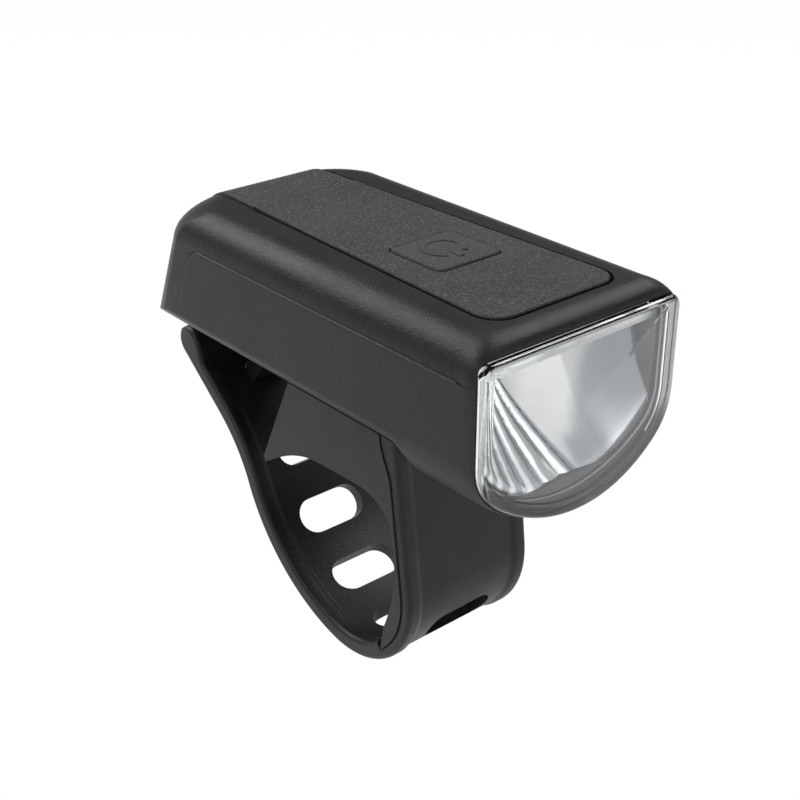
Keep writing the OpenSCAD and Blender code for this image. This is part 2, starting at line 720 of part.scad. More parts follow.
// Charging port with its tongue
module usb_socket() {
    r = port_h / 2;
    color([0.75, 0.76, 0.78]) at_body() translate([0, 0, board_low - eps - r]) {
        difference() {
            along_y(port_end - port_l, port_end) rounded(port_w, port_h - eps, r - eps);
            along_y(port_end - port_l + 0.8, port_end + 1)
                rounded(port_w - 2 * port_t, port_h - 2 * port_t, r - port_t - eps);
        }
        translate([-3.2, port_end - port_l + 0.7, -0.35]) cube([6.4, port_l - 1.2, 0.7]);
    }
}
module switch_body() {
    color([0.12, 0.12, 0.13]) at_body() translate([0, button_y, board_top + eps]) difference() {
        translate([-switch_w / 2, -switch_w / 2, 0]) cube([switch_w, switch_w, switch_h - eps]);
        translate([0, 0, 0.2]) cylinder(d = plunger_d + 2 * plunger_fit, h = 5);
    }
}
module switch_plunger() {
    color([0.8, 0.78, 0.7]) at_body() translate([0, button_y, plunger_top - plunger_h - switch_h + button_travel + 0.3])
        cylinder(d = plunger_d, h = plunger_h + switch_h - button_travel - 0.3);
}
module battery_cell() {
    color([0.2, 0.35, 0.6]) at_body() translate([0, cell_y, cell_z]) rotate([-90, 0, 0])
        cylinder(d = cell_d, h = cell_l);
}
// Frame that carries the cell on the belly
module battery_cradle() {
    w = cell_d + 3.6;
    color([0.25, 0.25, 0.26]) at_body() difference() {
        intersection() {
            along_y(cell_y + 2, cell_y + cell_l - 2)
                section(half_in - 0.1, roof_z, 1, belly_c, belly_r - wall - 0.05, 1);
            union() {
                for (y = [cell_y + 3, cell_y + cell_l - 7]) translate([-w / 2, y, -60]) cube([w, 4, 60 + cell_z]);
                pair() translate([w / 2 - 1.5, cell_y + 4, cell_z - 2.6]) cube([1.3, cell_l - 8, 2.4]);
            }
        }
        translate([0, cell_y - 1, cell_z]) rotate([-90, 0, 0]) cylinder(d = cell_d + 2 * cell_gap, h = cell_l + 2);
        translate([0, bar_back, 0]) at_plate_screws() translate([0, 0, -40])
            cylinder(r = post_r + 0.3, h = 40 - belly_depth + post_h + 0.3);
        at_shell_screws() translate([0, 0, -60]) cylinder(d = shell_boss_d + 0.6, h = 60);
    }
}
// Strips welded to the cell ends and soldered to the board
module battery_tabs() {
    top = board_low - eps;
    color([0.8, 0.8, 0.78]) at_body() {
        translate([-strip_w / 2, cell_y - strip_t - eps, cell_z - strip_w * 0.7])
            cube([strip_w, strip_t, top - cell_z + strip_w * 0.7]);
        translate([-strip_w / 2, cell_y - strip_t - eps, top - strip_t]) cube([strip_w, strip_w / 2, strip_t]);
        translate([-strip_w / 2, cell_y + cell_l + eps, cell_z - strip_w * 0.7])
            cube([strip_w, strip_t, top - cell_z + strip_w * 0.7]);
    }
}

// Rubber inlay of the deck with the window for the button
module top_pad() {
    color([0.29, 0.31, 0.31]) at_body() difference() {
        intersection() {
            skin_band(0, cover_low, -pad_in + eps, pad_out);
            pad_plan(0);
            translate([-40, -10, -40]) cube([80, 10 + cover_y - 0.1, 80]);
        }
        translate([0, button_y, -20]) linear_extrude(40)
            rounded(button_w + 2 * button_gap, button_l + 2 * button_gap, button_r + button_gap);
    }
}
module power_button() {
    color([0.31, 0.33, 0.33]) at_body() translate([0, button_y, 0]) {
        translate([0, 0, button_low]) linear_extrude(deck_h + button_out - button_low)
            rounded(button_w, button_l, button_r);
        translate([0, 0, stem_low]) cylinder(d = stem_d, h = button_low - stem_low + eps);
    }
}
// Rubber flap over the charging port, a continuation of the deck rubber
module port_cover() {
    color([0.28, 0.3, 0.3]) at_body() {
        intersection() {
            skin_band(0, cover_low, -pad_in + 0.1, pad_out);
            pad_plan(0);
            translate([-40, cover_y + 0.1, -40]) cube([80, 60, 80]);
        }
        intersection() {
            translate([-plug_w / 2, cover_y, board_low - port_h / 2 - plug_h / 2]) cube([plug_w, 20, plug_h]);
            skin_band(0, cover_low, -pad_in - 0.5, -pad_in + 0.2);
        }
    }
}

// Rigid plate under the belly with the pin ears and the hook
module mount_plate() {
    low = bar_drop - belly_depth - plate_t;
    p = route(hook_s);
    h = heading(hook_s);
    hook_u = slot_w / 2 - 0.9 - hook_t;
    reach = (low + plate_t / 2 - p[1] - (hook_u + hook_t / 2) * sin(h)) / cos(h);
    back = p[0] + (hook_u + hook_t) * cos(h) - reach * sin(h) + 0.6;
    color([0.15, 0.15, 0.16]) difference() {
        union() {
            translate([-plate_w / 2, -plate_front, low]) cube([plate_w, plate_front + plate_back, 20]);
            translate([-hook_w / 2 - 0.5, plate_screw_back, low]) cube([hook_w + 1, back - plate_screw_back, 20]);
            pair() translate([root_w / 2 + 0.2, -root_y - root_r + 0.4, root_z - root_r])
                cube([ear_t, root_y + root_r - plate_front + 0.4, 2 * root_r]);
            translate([0, p[0], p[1]]) rotate([h, 0, 0]) {
                translate([-hook_w / 2, hook_u, -1.8]) cube([hook_w, hook_t, reach + 1.8]);
                translate([-hook_w / 2 + 0.1, hook_u + 0.3, -1.8]) cube([hook_w - 0.2, hook_t - 0.3 + hook_lip, 1.5]);
            }
        }
        at_body() translate([0, 0, belly_c]) rotate([-90, 0, 0]) cylinder(r = belly_r + 0.05, h = 90);
        translate([0, -root_y, root_z]) rotate([0, 90, 0]) cylinder(d = pin_d + 2 * screw_gap, h = 60, center = true);
        at_plate_screws() {
            translate([0, 0, low - 1]) cylinder(d = small_screw_d + 2 * screw_gap, h = 20);
            translate([0, 0, low - 1]) cylinder(d = small_head_d + 0.3, h = 1 + small_head_h + 0.2);
        }
    }
}
// Rubber pad between belly and bar, with the tongue ahead of the bar
module saddle_pad() {
    low = bar_drop - belly_depth - plate_t;
    depth = front_t + lap_gap;
    top = -(root_z - loop_p0[1] + 6);
    color([0.17, 0.17, 0.18]) difference() {
        along_x(saddle_w) difference() {
            polygon(concat(
                run(top, 0, depth, 3),
                run(0, tongue_s, depth, 14),
                [seat_r * [cos(seat_to), sin(seat_to)], [0, 0],
                 seat_r * [cos(seat_from), sin(seat_from)],
                 [lip_y, lip_z], [lip_y + 0.3, lip_z + lip_t],
                 [pad_back, root_z + 6]]));
            circle(seat_r, $fn = 180);
            translate((seat_r + relief_out - relief_r) / sqrt(2) * [-1, 1]) circle(relief_r);
        }
        at_body() translate([0, 0, belly_c]) rotate([-90, 0, 0]) cylinder(r = belly_r + belly_gap, h = 90);
        translate([-plate_w / 2 - 0.1, -plate_front - 0.1, low - 0.1]) cube([plate_w + 0.2, 60, 20]);
        translate([-(root_w / 2 + ear_t + 0.4), -40, root_z - root_r - 0.3])
            cube([root_w + 2 * ear_t + 0.8, 40 - plate_front + 1, 20]);
        at_plate_screws() translate([0, 0, low - 0.8]) cylinder(d = small_head_d + 0.3, h = 2);
    }
}

// Points of the strap's inner face, with the thin wall ahead of the pad
function inner_face(from, to, cut) =
    let (step = min(max(from, thin_s), to))
    concat(from < thin_s ? run(from, step, front_t, steps(from, step)) : [],
           to > thin_s ? run(step, to, strap_t - cut, steps(step, to)) : []);
// Strap between two arc lengths: a web with raised rims
module strap_run(from, to) {
    n = steps(from, to);
    along_x(strap_w - 2 * rim_w + eps) polygon(concat(
        run(from, to, web_out, n), backwards(inner_face(from, to, web_in))));
    pair() translate([strap_w / 2 - rim_w / 2, 0, 0]) along_x(rim_w) polygon(concat(
        run(from, to, 0, n), backwards(inner_face(from, to, 0))));
}
module slot_cut(s) {
    p = route(s);
    translate([0, p[0], p[1]]) rotate([heading(s), 0, 0]) translate([0, 0, -6]) linear_extrude(14)
        rounded(slot_l, slot_w, slot_r);
}
// Strap wall ahead of the pad, with the bead that the pin holds
module strap_front() {
    top = -(root_z - loop_p0[1] + 5) / cos(front_lean);
    neck = on_strap(-(root_z - loop_p0[1]) / cos(front_lean), front_t / 2);
    color([0.16, 0.16, 0.17]) difference() {
        union() {
            strap_run(top, bend_a - bend_gap / 2);
            translate([0, -root_y, root_z]) rotate([0, 90, 0]) cylinder(r = root_r, h = root_w, center = true);
            translate([-root_w / 2, neck[0], root_z - 1]) cube([root_w, -root_y - neck[0], 2]);
        }
        at_body() translate([0, 0, belly_c]) rotate([-90, 0, 0]) cylinder(r = belly_r + belly_gap, h = 90);
        translate([0, -root_y, root_z]) rotate([0, 90, 0]) cylinder(d = pin_d + 2 * screw_gap, h = 60, center = true);
        slot_cut(slot_pitch);
    }
}
module strap_bottom() {
    color([0.17, 0.17, 0.18]) difference() {
        strap_run(bend_a + bend_gap / 2, bend_b - bend_gap / 2);
        for (i = [2, 3]) slot_cut(slot_pitch * i);
    }
}
module strap_rear() {
    e = on_strap(tail_s, tail_r);
    color([0.16, 0.16, 0.17]) difference() {
        union() {
            strap_run(bend_b + bend_gap / 2, tail_s);
            translate([0, e[0], e[1]]) rotate([0, 90, 0]) cylinder(r = tail_r, h = strap_w, center = true);
        }
        for (i = [4 : slot_n]) slot_cut(slot_pitch * i);
    }
}
// Steel pin in the root of the strap
module strap_pin() {
    color([0.72, 0.73, 0.75]) translate([0, -root_y, root_z]) rotate([0, 90, 0])
        cylinder(d = pin_d, h = root_w + 2 * ear_t + 0.4, center = true);
}
module shell_screws() {
    color([0.6, 0.61, 0.63]) at_body() at_shell_screws()
        screw(shell_seat_z - 0.02, roof_z - 1.3, shell_screw_d, shell_head_d, shell_head_h);
}
module board_screws() {
    color([0.62, 0.63, 0.65]) at_body() at_board_screws()
        screw(board_low - 0.02, 0.1, small_screw_d, small_head_d, small_head_h);
}
module reflector_screws() {
    color([0.62, 0.63, 0.65]) at_body() at_sink_screws()
        screw(sink_z - 0.05 - tab_t - 0.02, 0.7, small_screw_d, small_head_d, small_head_h);
}
module plate_screws() {
    low = bar_drop - belly_depth - plate_t;
    color([0.62, 0.63, 0.65]) at_plate_screws()
        screw(low + small_head_h + 0.18, bar_drop - belly_depth + post_h - 1, small_screw_d, small_head_d, small_head_h);
}

upper_shell();
lower_shell();
front_lens();
lens_seal();
reflector();
reflector_apron();
heat_sink();
led_board();
led_emitter();
led_leads();
main_board();
driver_chip();
choke_coil();
capacitors();
usb_socket();
switch_body();
switch_plunger();
battery_cell();
battery_cradle();
battery_tabs();
top_pad();
power_button();
port_cover();
mount_plate();
saddle_pad();
strap_front();
strap_bottom();
strap_rear();
strap_pin();
shell_screws();
board_screws();
reflector_screws();
plate_screws();
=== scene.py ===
"""Bicycle headlight on its handlebar strap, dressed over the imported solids.

Pieces are modelled in millimetres. The light's own frame has its origin at the top edge of the lens, with y
running backwards and z up. The strap and the saddle are modelled in the frame of the bar. A finished piece
is moved to the shared frame, in metres.
"""

import logging
import math
from collections.abc import Callable, Sequence
from dataclasses import dataclass, replace
from enum import Enum

import bmesh
import bpy
from mathutils import Matrix, Vector


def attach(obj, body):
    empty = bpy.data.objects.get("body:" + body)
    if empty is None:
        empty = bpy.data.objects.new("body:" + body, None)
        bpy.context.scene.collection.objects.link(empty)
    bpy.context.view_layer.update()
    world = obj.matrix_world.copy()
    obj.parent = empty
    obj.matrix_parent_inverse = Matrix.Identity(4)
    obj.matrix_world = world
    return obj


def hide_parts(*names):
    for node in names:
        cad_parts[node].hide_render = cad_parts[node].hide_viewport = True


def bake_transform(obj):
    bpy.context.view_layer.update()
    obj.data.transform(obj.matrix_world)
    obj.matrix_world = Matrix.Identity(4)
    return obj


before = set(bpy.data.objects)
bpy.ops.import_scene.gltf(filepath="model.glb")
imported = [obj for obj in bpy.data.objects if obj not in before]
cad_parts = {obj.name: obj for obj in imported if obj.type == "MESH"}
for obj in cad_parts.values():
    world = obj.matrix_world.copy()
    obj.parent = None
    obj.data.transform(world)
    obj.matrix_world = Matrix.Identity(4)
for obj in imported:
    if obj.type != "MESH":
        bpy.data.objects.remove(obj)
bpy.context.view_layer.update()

LOG = logging.getLogger("headlight")
Flat = tuple[float, float]
Spot = tuple[float, float, float]
Tone = tuple[float, float, float]

# Move from the light's frame to the shared frame, in millimetres
LIGHT_SHIFT: Spot = (0.0, -36.3, 46.45)
BAR_SHIFT: Spot = (0.0, 0.0, 0.0)

# Fan of flutes on the left of the reflector: its left edge, its width at a height and how the width changes
FAN_LEFT = -7.0
FAN_WIDE = 4.2
FAN_HEIGHT = -12.4
FAN_LEAN = 0.444
FLUTES = 2.6

# Angle in degrees from which an edge counts as sharp
SHARP = 34.0


class Cut(Enum):
    """How one form is combined with another."""

    AWAY = "DIFFERENCE"
    SHARED = "INTERSECT"
    JOINED = "UNION"


class Body(Enum):
    """The bodies that pieces ride on."""

    LIGHT = "light"
    STRAP_MIDDLE = "strap_middle"
    STRAP_END = "strap_end"
    BUTTON = "button"
    COVER = "cover"


def ease(low: float, high: float, value: float) -> float:
    """Smooth step from 0 at low to 1 at high.

    Args:
        low: Value where the step starts.
        high: Value where it ends.
        value: The value.

    Returns:
        The height of the step.
    """
    t = min(max((value - low) / (high - low), 0.0), 1.0)
    return t * t * (3.0 - 2.0 * t)


def lerp(a: float, b: float, t: float) -> float:
    """Value between a and b."""
    return a + (b - a) * t


def is_sharp(edge: bmesh.types.BMEdge, angle: float = SHARP) -> bool:
    """Whether two faces meet at an edge under more than an angle in degrees."""
    return len(edge.link_faces) == 2 and edge.calc_face_angle(0.0) > math.radians(angle)


def carry(obj: bpy.types.Object, body: Body, node: str) -> None:
    """Lets a piece ride on a body in place of a solid.

    Args:
        obj: The piece.
        body: Body that it rides on.
        node: Name of the solid.
    """
    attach(obj, body.value)
    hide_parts(node)


def arc(centre: Flat, radius: float, start: float, end: float, count: int) -> list[Flat]:
    """Points on an arc.

    Args:
        centre: Middle of the arc.
        radius: Radius of the arc.
        start: First angle in degrees.
        end: Last angle in degrees.
        count: Number of steps.

    Returns:
        count + 1 points from start to end.
    """
    angles = [math.radians(lerp(start, end, i / count)) for i in range(count + 1)]
    return [(centre[0] + radius * math.cos(a), centre[1] + radius * math.sin(a)) for a in angles]


def rounded_corner(a: Flat, b: Flat, c: Flat, radius: float, count: int = 8) -> list[Flat]:
    """Points that round the corner at b between a and c.

    Args:
        a: Point before the corner.
        b: The corner.
        c: Point after the corner.
        radius: Radius of the rounding.
        count: Number of steps.

    Returns:
        The points of the rounding, from the side of a to the side of c.
    """
    corner = Vector(b)
    u = (Vector(a) - corner).normalized()
    v = (Vector(c) - corner).normalized()
    half = u.angle(v) / 2
    middle = corner + (u + v).normalized() * radius / math.sin(half)
    first = corner + u * radius / math.tan(half) - middle
    last = corner + v * radius / math.tan(half) - middle
    start = math.degrees(math.atan2(first.y, first.x))
    turn = math.degrees(math.atan2(last.y, last.x)) - start
    turn = (turn + 180) % 360 - 180
    return arc((middle.x, middle.y), radius, start, start + turn, count)


def rounded_rectangle(width: float, length: float, radius: float, count: int = 8) -> list[Flat]:
    """Outline of a rectangle with round corners, centred on the origin.

    Args:
        width: Size along the first axis.
        length: Size along the second axis.
        radius: Radius of the corners.
        count: Number of steps in a corner.

    Returns:
        The closed outline.
    """
    a = width / 2 - radius
    b = length / 2 - radius
    corners = [(a, b, 0), (-a, b, 90), (-a, -b, 180), (a, -b, 270)]
    return [p for x, y, turn in corners for p in arc((x, y), radius, turn, turn + 90, count)]


def flowing(points: Sequence[Flat], steps: int) -> list[Flat]:
    """Smooth open line through points.

    Args:
        points: Points that the line passes through.
        steps: Number of steps between two points.

    Returns:
        The points of a Catmull-Rom line.
    """
    ends = [points[0], *points, points[-1]]
    line: list[Flat] = []
    for p, q, r, s in zip(ends, ends[1:], ends[2:], ends[3:]):
        for i in range(steps):
            t = i / steps
            pair = []
            for k in (0, 1):
                pair.append(0.5 * (2 * q[k] + (r[k] - p[k]) * t
                                   + (2 * p[k] - 5 * q[k] + 4 * r[k] - s[k]) * t * t
                                   + (3 * q[k] - p[k] - 3 * r[k] + s[k]) * t ** 3))
            line.append((pair[0], pair[1]))
    return [*line, points[-1]]


def reach(outline: Sequence[Flat], middle: Flat, angle: float) -> float:
    """Distance from a middle to an outline round it, in a direction.

    Args:
        outline: Closed outline.
        middle: Point inside it.
        angle: Direction in radians.

    Returns:
        The distance to the farthest crossing.
    """
    ray = Vector((math.cos(angle), math.sin(angle)))
    far = 0.0
    for p, q in zip(outline, [*outline[1:], outline[0]]):
        start = Vector(p) - Vector(middle)
        side = Vector(q) - Vector(p)
        turn = ray.cross(side)
        if abs(turn) < 1e-9:
            continue
        if -1e-6 <= start.cross(ray) / turn <= 1 + 1e-6:
            far = max(far, start.cross(side) / turn)
    return far


def light_section(half: float, top: float, top_r: float, low_c: float, low_r: float,
                  edge_r: float) -> list[Flat]:
    """Section of the light in x and z: flat top, upright sides and a round belly.

    Args:
        half: Half of the width.
        top: Height of the flat top.
        top_r: Rounding of the top edges.
        low_c: Height of the belly's centre.
        low_r: Radius of the belly.
        edge_r: Rounding between sides and belly.

    Returns:
        A closed outline, the same number of points for any sizes.
    """
    edge = (half - edge_r, low_c - math.sqrt((low_r - edge_r) ** 2 - (half - edge_r) ** 2))
    turn = math.degrees(math.atan2(edge[1] - low_c, edge[0]))
    right = arc((0.0, low_c), low_r, -90, turn, 22)
    right += arc(edge, edge_r, turn, 0, 7)[1:]
    right += arc((half - top_r, top - top_r), top_r, 0, 90, 14)
    return right + [(-x, z) for x, z in reversed(right[1:])]


class Bench:
    """Models one piece with Blender's operators, in millimetres."""

    def __init__(self, name: str) -> None:
        """Names the piece."""
        self.name = name
        self.obj: bpy.types.Object = None

    def clear(self) -> None:
        """Leaves edit mode and deselects everything."""
        if bpy.context.mode != "OBJECT":
            bpy.ops.object.mode_set(mode="OBJECT")
        bpy.ops.object.select_all(action="DESELECT")

    def take(self) -> None:
        """Takes the new primitive as this piece, with its place in its mesh."""
        self.obj = bpy.context.active_object
        self.obj.name = self.name
        self.obj.data.name = self.name
        bpy.ops.object.transform_apply(location=True, rotation=True, scale=True)

    def activate(self) -> None:
        """Makes this piece the only selected object."""
        self.clear()
        bpy.context.view_layer.objects.active = self.obj
        self.obj.select_set(True)

    def edit(self) -> bmesh.types.BMesh:
        """Opens the piece in edit mode and returns its mesh.

        Returns:
            The mesh in edit mode.
        """
        if bpy.context.mode != "EDIT_MESH":
            self.activate()
            bpy.ops.object.mode_set(mode="EDIT")
        return bmesh.from_edit_mesh(self.obj.data)

    def box(self, low: Spot, high: Spot) -> "Bench":
        """Starts from a box between two corners.

        Args:
            low: Lowest corner.
            high: Highest corner.

        Returns:
            This bench.
        """
        self.clear()
        size = Vector(high) - Vector(low)
        bpy.ops.mesh.primitive_cube_add(size=1, location=(Vector(low) + Vector(high)) / 2, scale=size)
        self.take()
        return self

    def drum(self, start: Spot, end: Spot, radius: float, sides: int = 96) -> "Bench":
        """Starts from a cylinder between two points.

        Args:
            start: Middle of one end.
            end: Middle of the other end.
            radius: Radius of the cylinder.
            sides: Number of sides.

        Returns:
            This bench.
        """
        self.clear()
        line = Vector(end) - Vector(start)
        turn = line.to_track_quat("Z", "Y").to_euler()
        middle = (Vector(start) + Vector(end)) / 2
        bpy.ops.mesh.primitive_cylinder_add(
            vertices=sides, radius=radius, depth=line.length, location=middle, rotation=turn)
        self.take()
        return self

    def loft(self, rings: Sequence[Sequence[Spot]], capped: bool = True) -> "Bench":
        """Extrudes a circle from ring to ring.

        Args:
            rings: Closed outlines with the same number of points.
            capped: Whether the ends are closed.

        Returns:
            This bench.
        """
        self.clear()
        bpy.ops.mesh.primitive_circle_add(vertices=len(rings[0]), radius=1, fill_type="NOTHING")
        self.take()
        mesh = self.edit()
        place = mesh.verts.layers.int.new("place")
        mesh.verts.ensure_lookup_table()
        for i, vertex in enumerate(mesh.verts):
            vertex[place] = i
            vertex.co = rings[0][i]
        bmesh.update_edit_mesh(self.obj.data)
        bpy.ops.mesh.select_all(action="SELECT")
        for ring in rings[1:]:
            bpy.ops.mesh.extrude_region_move(TRANSFORM_OT_translate={"value": (0, 0, 0)})
            mesh = bmesh.from_edit_mesh(self.obj.data)
            place = mesh.verts.layers.int["place"]
            for vertex in mesh.verts:
                if vertex.select:
                    vertex.co = ring[vertex[place]]
            bmesh.update_edit_mesh(self.obj.data)
        mesh.verts.layers.int.remove(mesh.verts.layers.int["place"])
        bmesh.update_edit_mesh(self.obj.data)
        bpy.ops.mesh.select_all(action="SELECT")
        if capped:
            bpy.ops.mesh.fill_holes(sides=0)
        bpy.ops.mesh.normals_make_consistent(inside=False)
        bpy.ops.object.mode_set(mode="OBJECT")
        return self

    def pick_edges(self, test: Callable[[bmesh.types.BMEdge], bool]) -> int:
        """Selects edges in edit mode and returns their number.

        Args:
            test: Whether an edge is selected.

        Returns:
            The number of edges found.
        """
        self.edit()
        bpy.ops.mesh.select_mode(type="EDGE")
        bpy.ops.mesh.select_all(action="DESELECT")
        mesh = bmesh.from_edit_mesh(self.obj.data)
        found = [e for e in mesh.edges if test(e)]
        for edge in found:
            edge.select_set(True)
        bmesh.update_edit_mesh(self.obj.data)
        return len(found)

    def round_edges(self, test: Callable[[bmesh.types.BMEdge], bool], width: float, steps: int,
                    clamp: bool = True) -> "Bench":
        """Bevels the edges that a test picks.

        Args:
            test: Whether an edge is rounded.
            width: Width of the rounding.
            steps: Number of steps in it.
            clamp: Whether roundings stop where they meet.

        Returns:
            This bench.
        """
        if self.pick_edges(test):
            bpy.ops.mesh.bevel(offset=width, segments=steps, profile=0.5, clamp_overlap=clamp)
        bpy.ops.object.mode_set(mode="OBJECT")
        return self

    def split(self, place: float, axis: int) -> "Bench":
        """Cuts a loop of edges round the piece at a place along an axis.

        Args:
            place: Place of the cut.
            axis: Number of the axis, from 0.

        Returns:
            This bench.
        """
        self.edit()
        bpy.ops.mesh.select_all(action="SELECT")
        normal = [float(i == axis) for i in range(3)]
        bpy.ops.mesh.bisect(plane_co=[place * n for n in normal], plane_no=normal)
        bpy.ops.object.mode_set(mode="OBJECT")
        return self

    def combine(self, other: "Bench", how: Cut) -> "Bench":
        """Cuts, shares or joins this piece with another, which is used up.

        Args:
            other: The other form.
            how: How the two are combined.

        Returns:
            This bench.
        """
        self.activate()
        modifier = self.obj.modifiers.new("combine", "BOOLEAN")
        modifier.operation = how.value
        modifier.solver = "EXACT"
        modifier.object = other.obj
        bpy.ops.object.modifier_apply(modifier=modifier.name)
        bpy.data.objects.remove(other.obj)
        return self

    def apply(self, kind: str, **settings: object) -> "Bench":
        """Adds a modifier, sets it and applies it.

        Args:
            kind: Type of the modifier.
            settings: Its properties.

        Returns:
            This bench.
        """
        self.activate()
        modifier = self.obj.modifiers.new(kind.lower(), kind)
        for key, value in settings.items():
            setattr(modifier, key, value)
        bpy.ops.object.modifier_apply(modifier=modifier.name)
        return self

    def clean(self, flat: float = 0.3) -> "Bench":
        """Merges doubles and takes out edges inside flat faces.

        Args:
            flat: Angle in degrees below which faces count as flat, or 0 to keep all edges.

        Returns:
            This bench.
        """
        self.edit()
        bpy.ops.mesh.select_all(action="SELECT")
        bpy.ops.mesh.remove_doubles(threshold=0.0008)
        if flat > 0:
            bpy.ops.mesh.dissolve_limited(angle_limit=math.radians(flat), delimit=set())
        bpy.ops.mesh.normals_make_consistent(inside=False)
        bpy.ops.object.mode_set(mode="OBJECT")
        return self

    def soften(self, width: float, steps: int, angle: float) -> "Bench":
        """Rounds every sharp edge by a small width."""
        return self.apply("BEVEL", width=width, segments=steps, limit_method="ANGLE",
                          angle_limit=math.radians(angle), use_clamp_overlap=True)

    def finish(self, paint: bpy.types.Material, slot: str, shift: Spot,
               angle: float = 32.0) -> bpy.types.Object:
        """Moves the piece to the shared frame, in metres, and gives it its paint.

        Args:
            paint: Material of the piece.
            slot: Material slot of the record; not used.
            shift: Move from the piece's frame to the shared one, in millimetres.
            angle: Angle below which edges are shaded smooth.

        Returns:
            The finished object.
        """
        self.activate()
        self.obj.data.transform(Matrix.Scale(0.001, 4) @ Matrix.Translation(Vector(shift)))
        bpy.ops.object.shade_smooth_by_angle(angle=math.radians(angle))
        self.apply("WEIGHTED_NORMAL", keep_sharp=True)
        self.obj.data.materials.clear()
        self.obj.data.materials.append(paint)
        LOG.info("%s: %d faces", self.name, len(self.obj.data.polygons))
        return self.obj


class Signal:
    """A shader socket that takes part in Python expressions."""

    def __init__(self, nodes: "Nodes", socket: bpy.types.NodeSocket) -> None:
        """Wraps a socket of a tree."""
        self.nodes = nodes
        self.socket = socket

    def _math(self, operation: str, first: object, second: object) -> "Signal":
        """Adds a Math node."""
        return self.nodes.add("ShaderNodeMath", {"operation": operation}, {0: first, 1: second})

    def __add__(self, other: object) -> "Signal":
        """Sum."""
        return self._math("ADD", self, other)

    def __radd__(self, other: object) -> "Signal":
        """Sum with a number first."""
        return self._math("ADD", other, self)

    def __sub__(self, other: object) -> "Signal":
        """Difference."""
        return self._math("SUBTRACT", self, other)

    def __rsub__(self, other: object) -> "Signal":
        """Difference from a number."""
        return self._math("SUBTRACT", other, self)

    def __mul__(self, other: object) -> "Signal":
        """Product."""
        return self._math("MULTIPLY", self, other)

    def __rmul__(self, other: object) -> "Signal":
        """Product with a number first."""
        return self._math("MULTIPLY", other, self)

    def __truediv__(self, other: object) -> "Signal":
        """Quotient."""
        return self._math("DIVIDE", self, other)

    def __gt__(self, other: object) -> "Signal":
        """1 where this is greater."""
        return self._math("GREATER_THAN", self, other)

    def __lt__(self, other: object) -> "Signal":
        """1 where this is less."""
        return self._math("LESS_THAN", self, other)

    def rise(self, low: float, high: float) -> "Signal":
        """Smooth step from 0 at low to 1 at high, falling where low is the greater."""
        return self.nodes.add("ShaderNodeMapRange", {"interpolation_type": "SMOOTHSTEP", "clamp": True},
                              {"Value": self, "From Min": low, "From Max": high})

    def most(self, other: object) -> "Signal":
        """The greater of two."""
        return self._math("MAXIMUM", self, other)

    def sine(self) -> "Signal":
        """Sine of an angle in radians."""
        return self.nodes.add("ShaderNodeMath", {"operation": "SINE"}, {0: self})


class Nodes:
    """Adds nodes to the tree of a material or a world."""

    def __init__(self, tree: bpy.types.NodeTree) -> None:
        """Takes a tree."""
        self.tree = tree

    def add(self, kind: str, settings: dict[str, object], sockets: dict[object, object],
            output: object = 0) -> Signal:
        """Adds a node.

        Args:
            kind: Type of the node.
            settings: Properties that are set first.
            sockets: Values or signals of the inputs, by name or number.
            output: Name or number of the output.

        Returns:
            The output as a signal.
        """
        node = self.tree.nodes.new(kind)
        for key, value in settings.items():
            setattr(node, key, value)
        for key, value in sockets.items():
            self.put(node.inputs[key], value)
        return Signal(self, node.outputs[output])

    def put(self, socket: bpy.types.NodeSocket, value: object) -> None:
        """Links a signal to a socket, or sets its value.

        Args:
            socket: Socket of a node.
            value: Signal, number or colour.
        """
        if isinstance(value, Signal):
            self.tree.links.new(value.socket, socket)
        elif isinstance(value, tuple) and len(value) == 3 and socket.type == "RGBA":
            socket.default_value = (*value, 1.0)
        else:
            socket.default_value = value


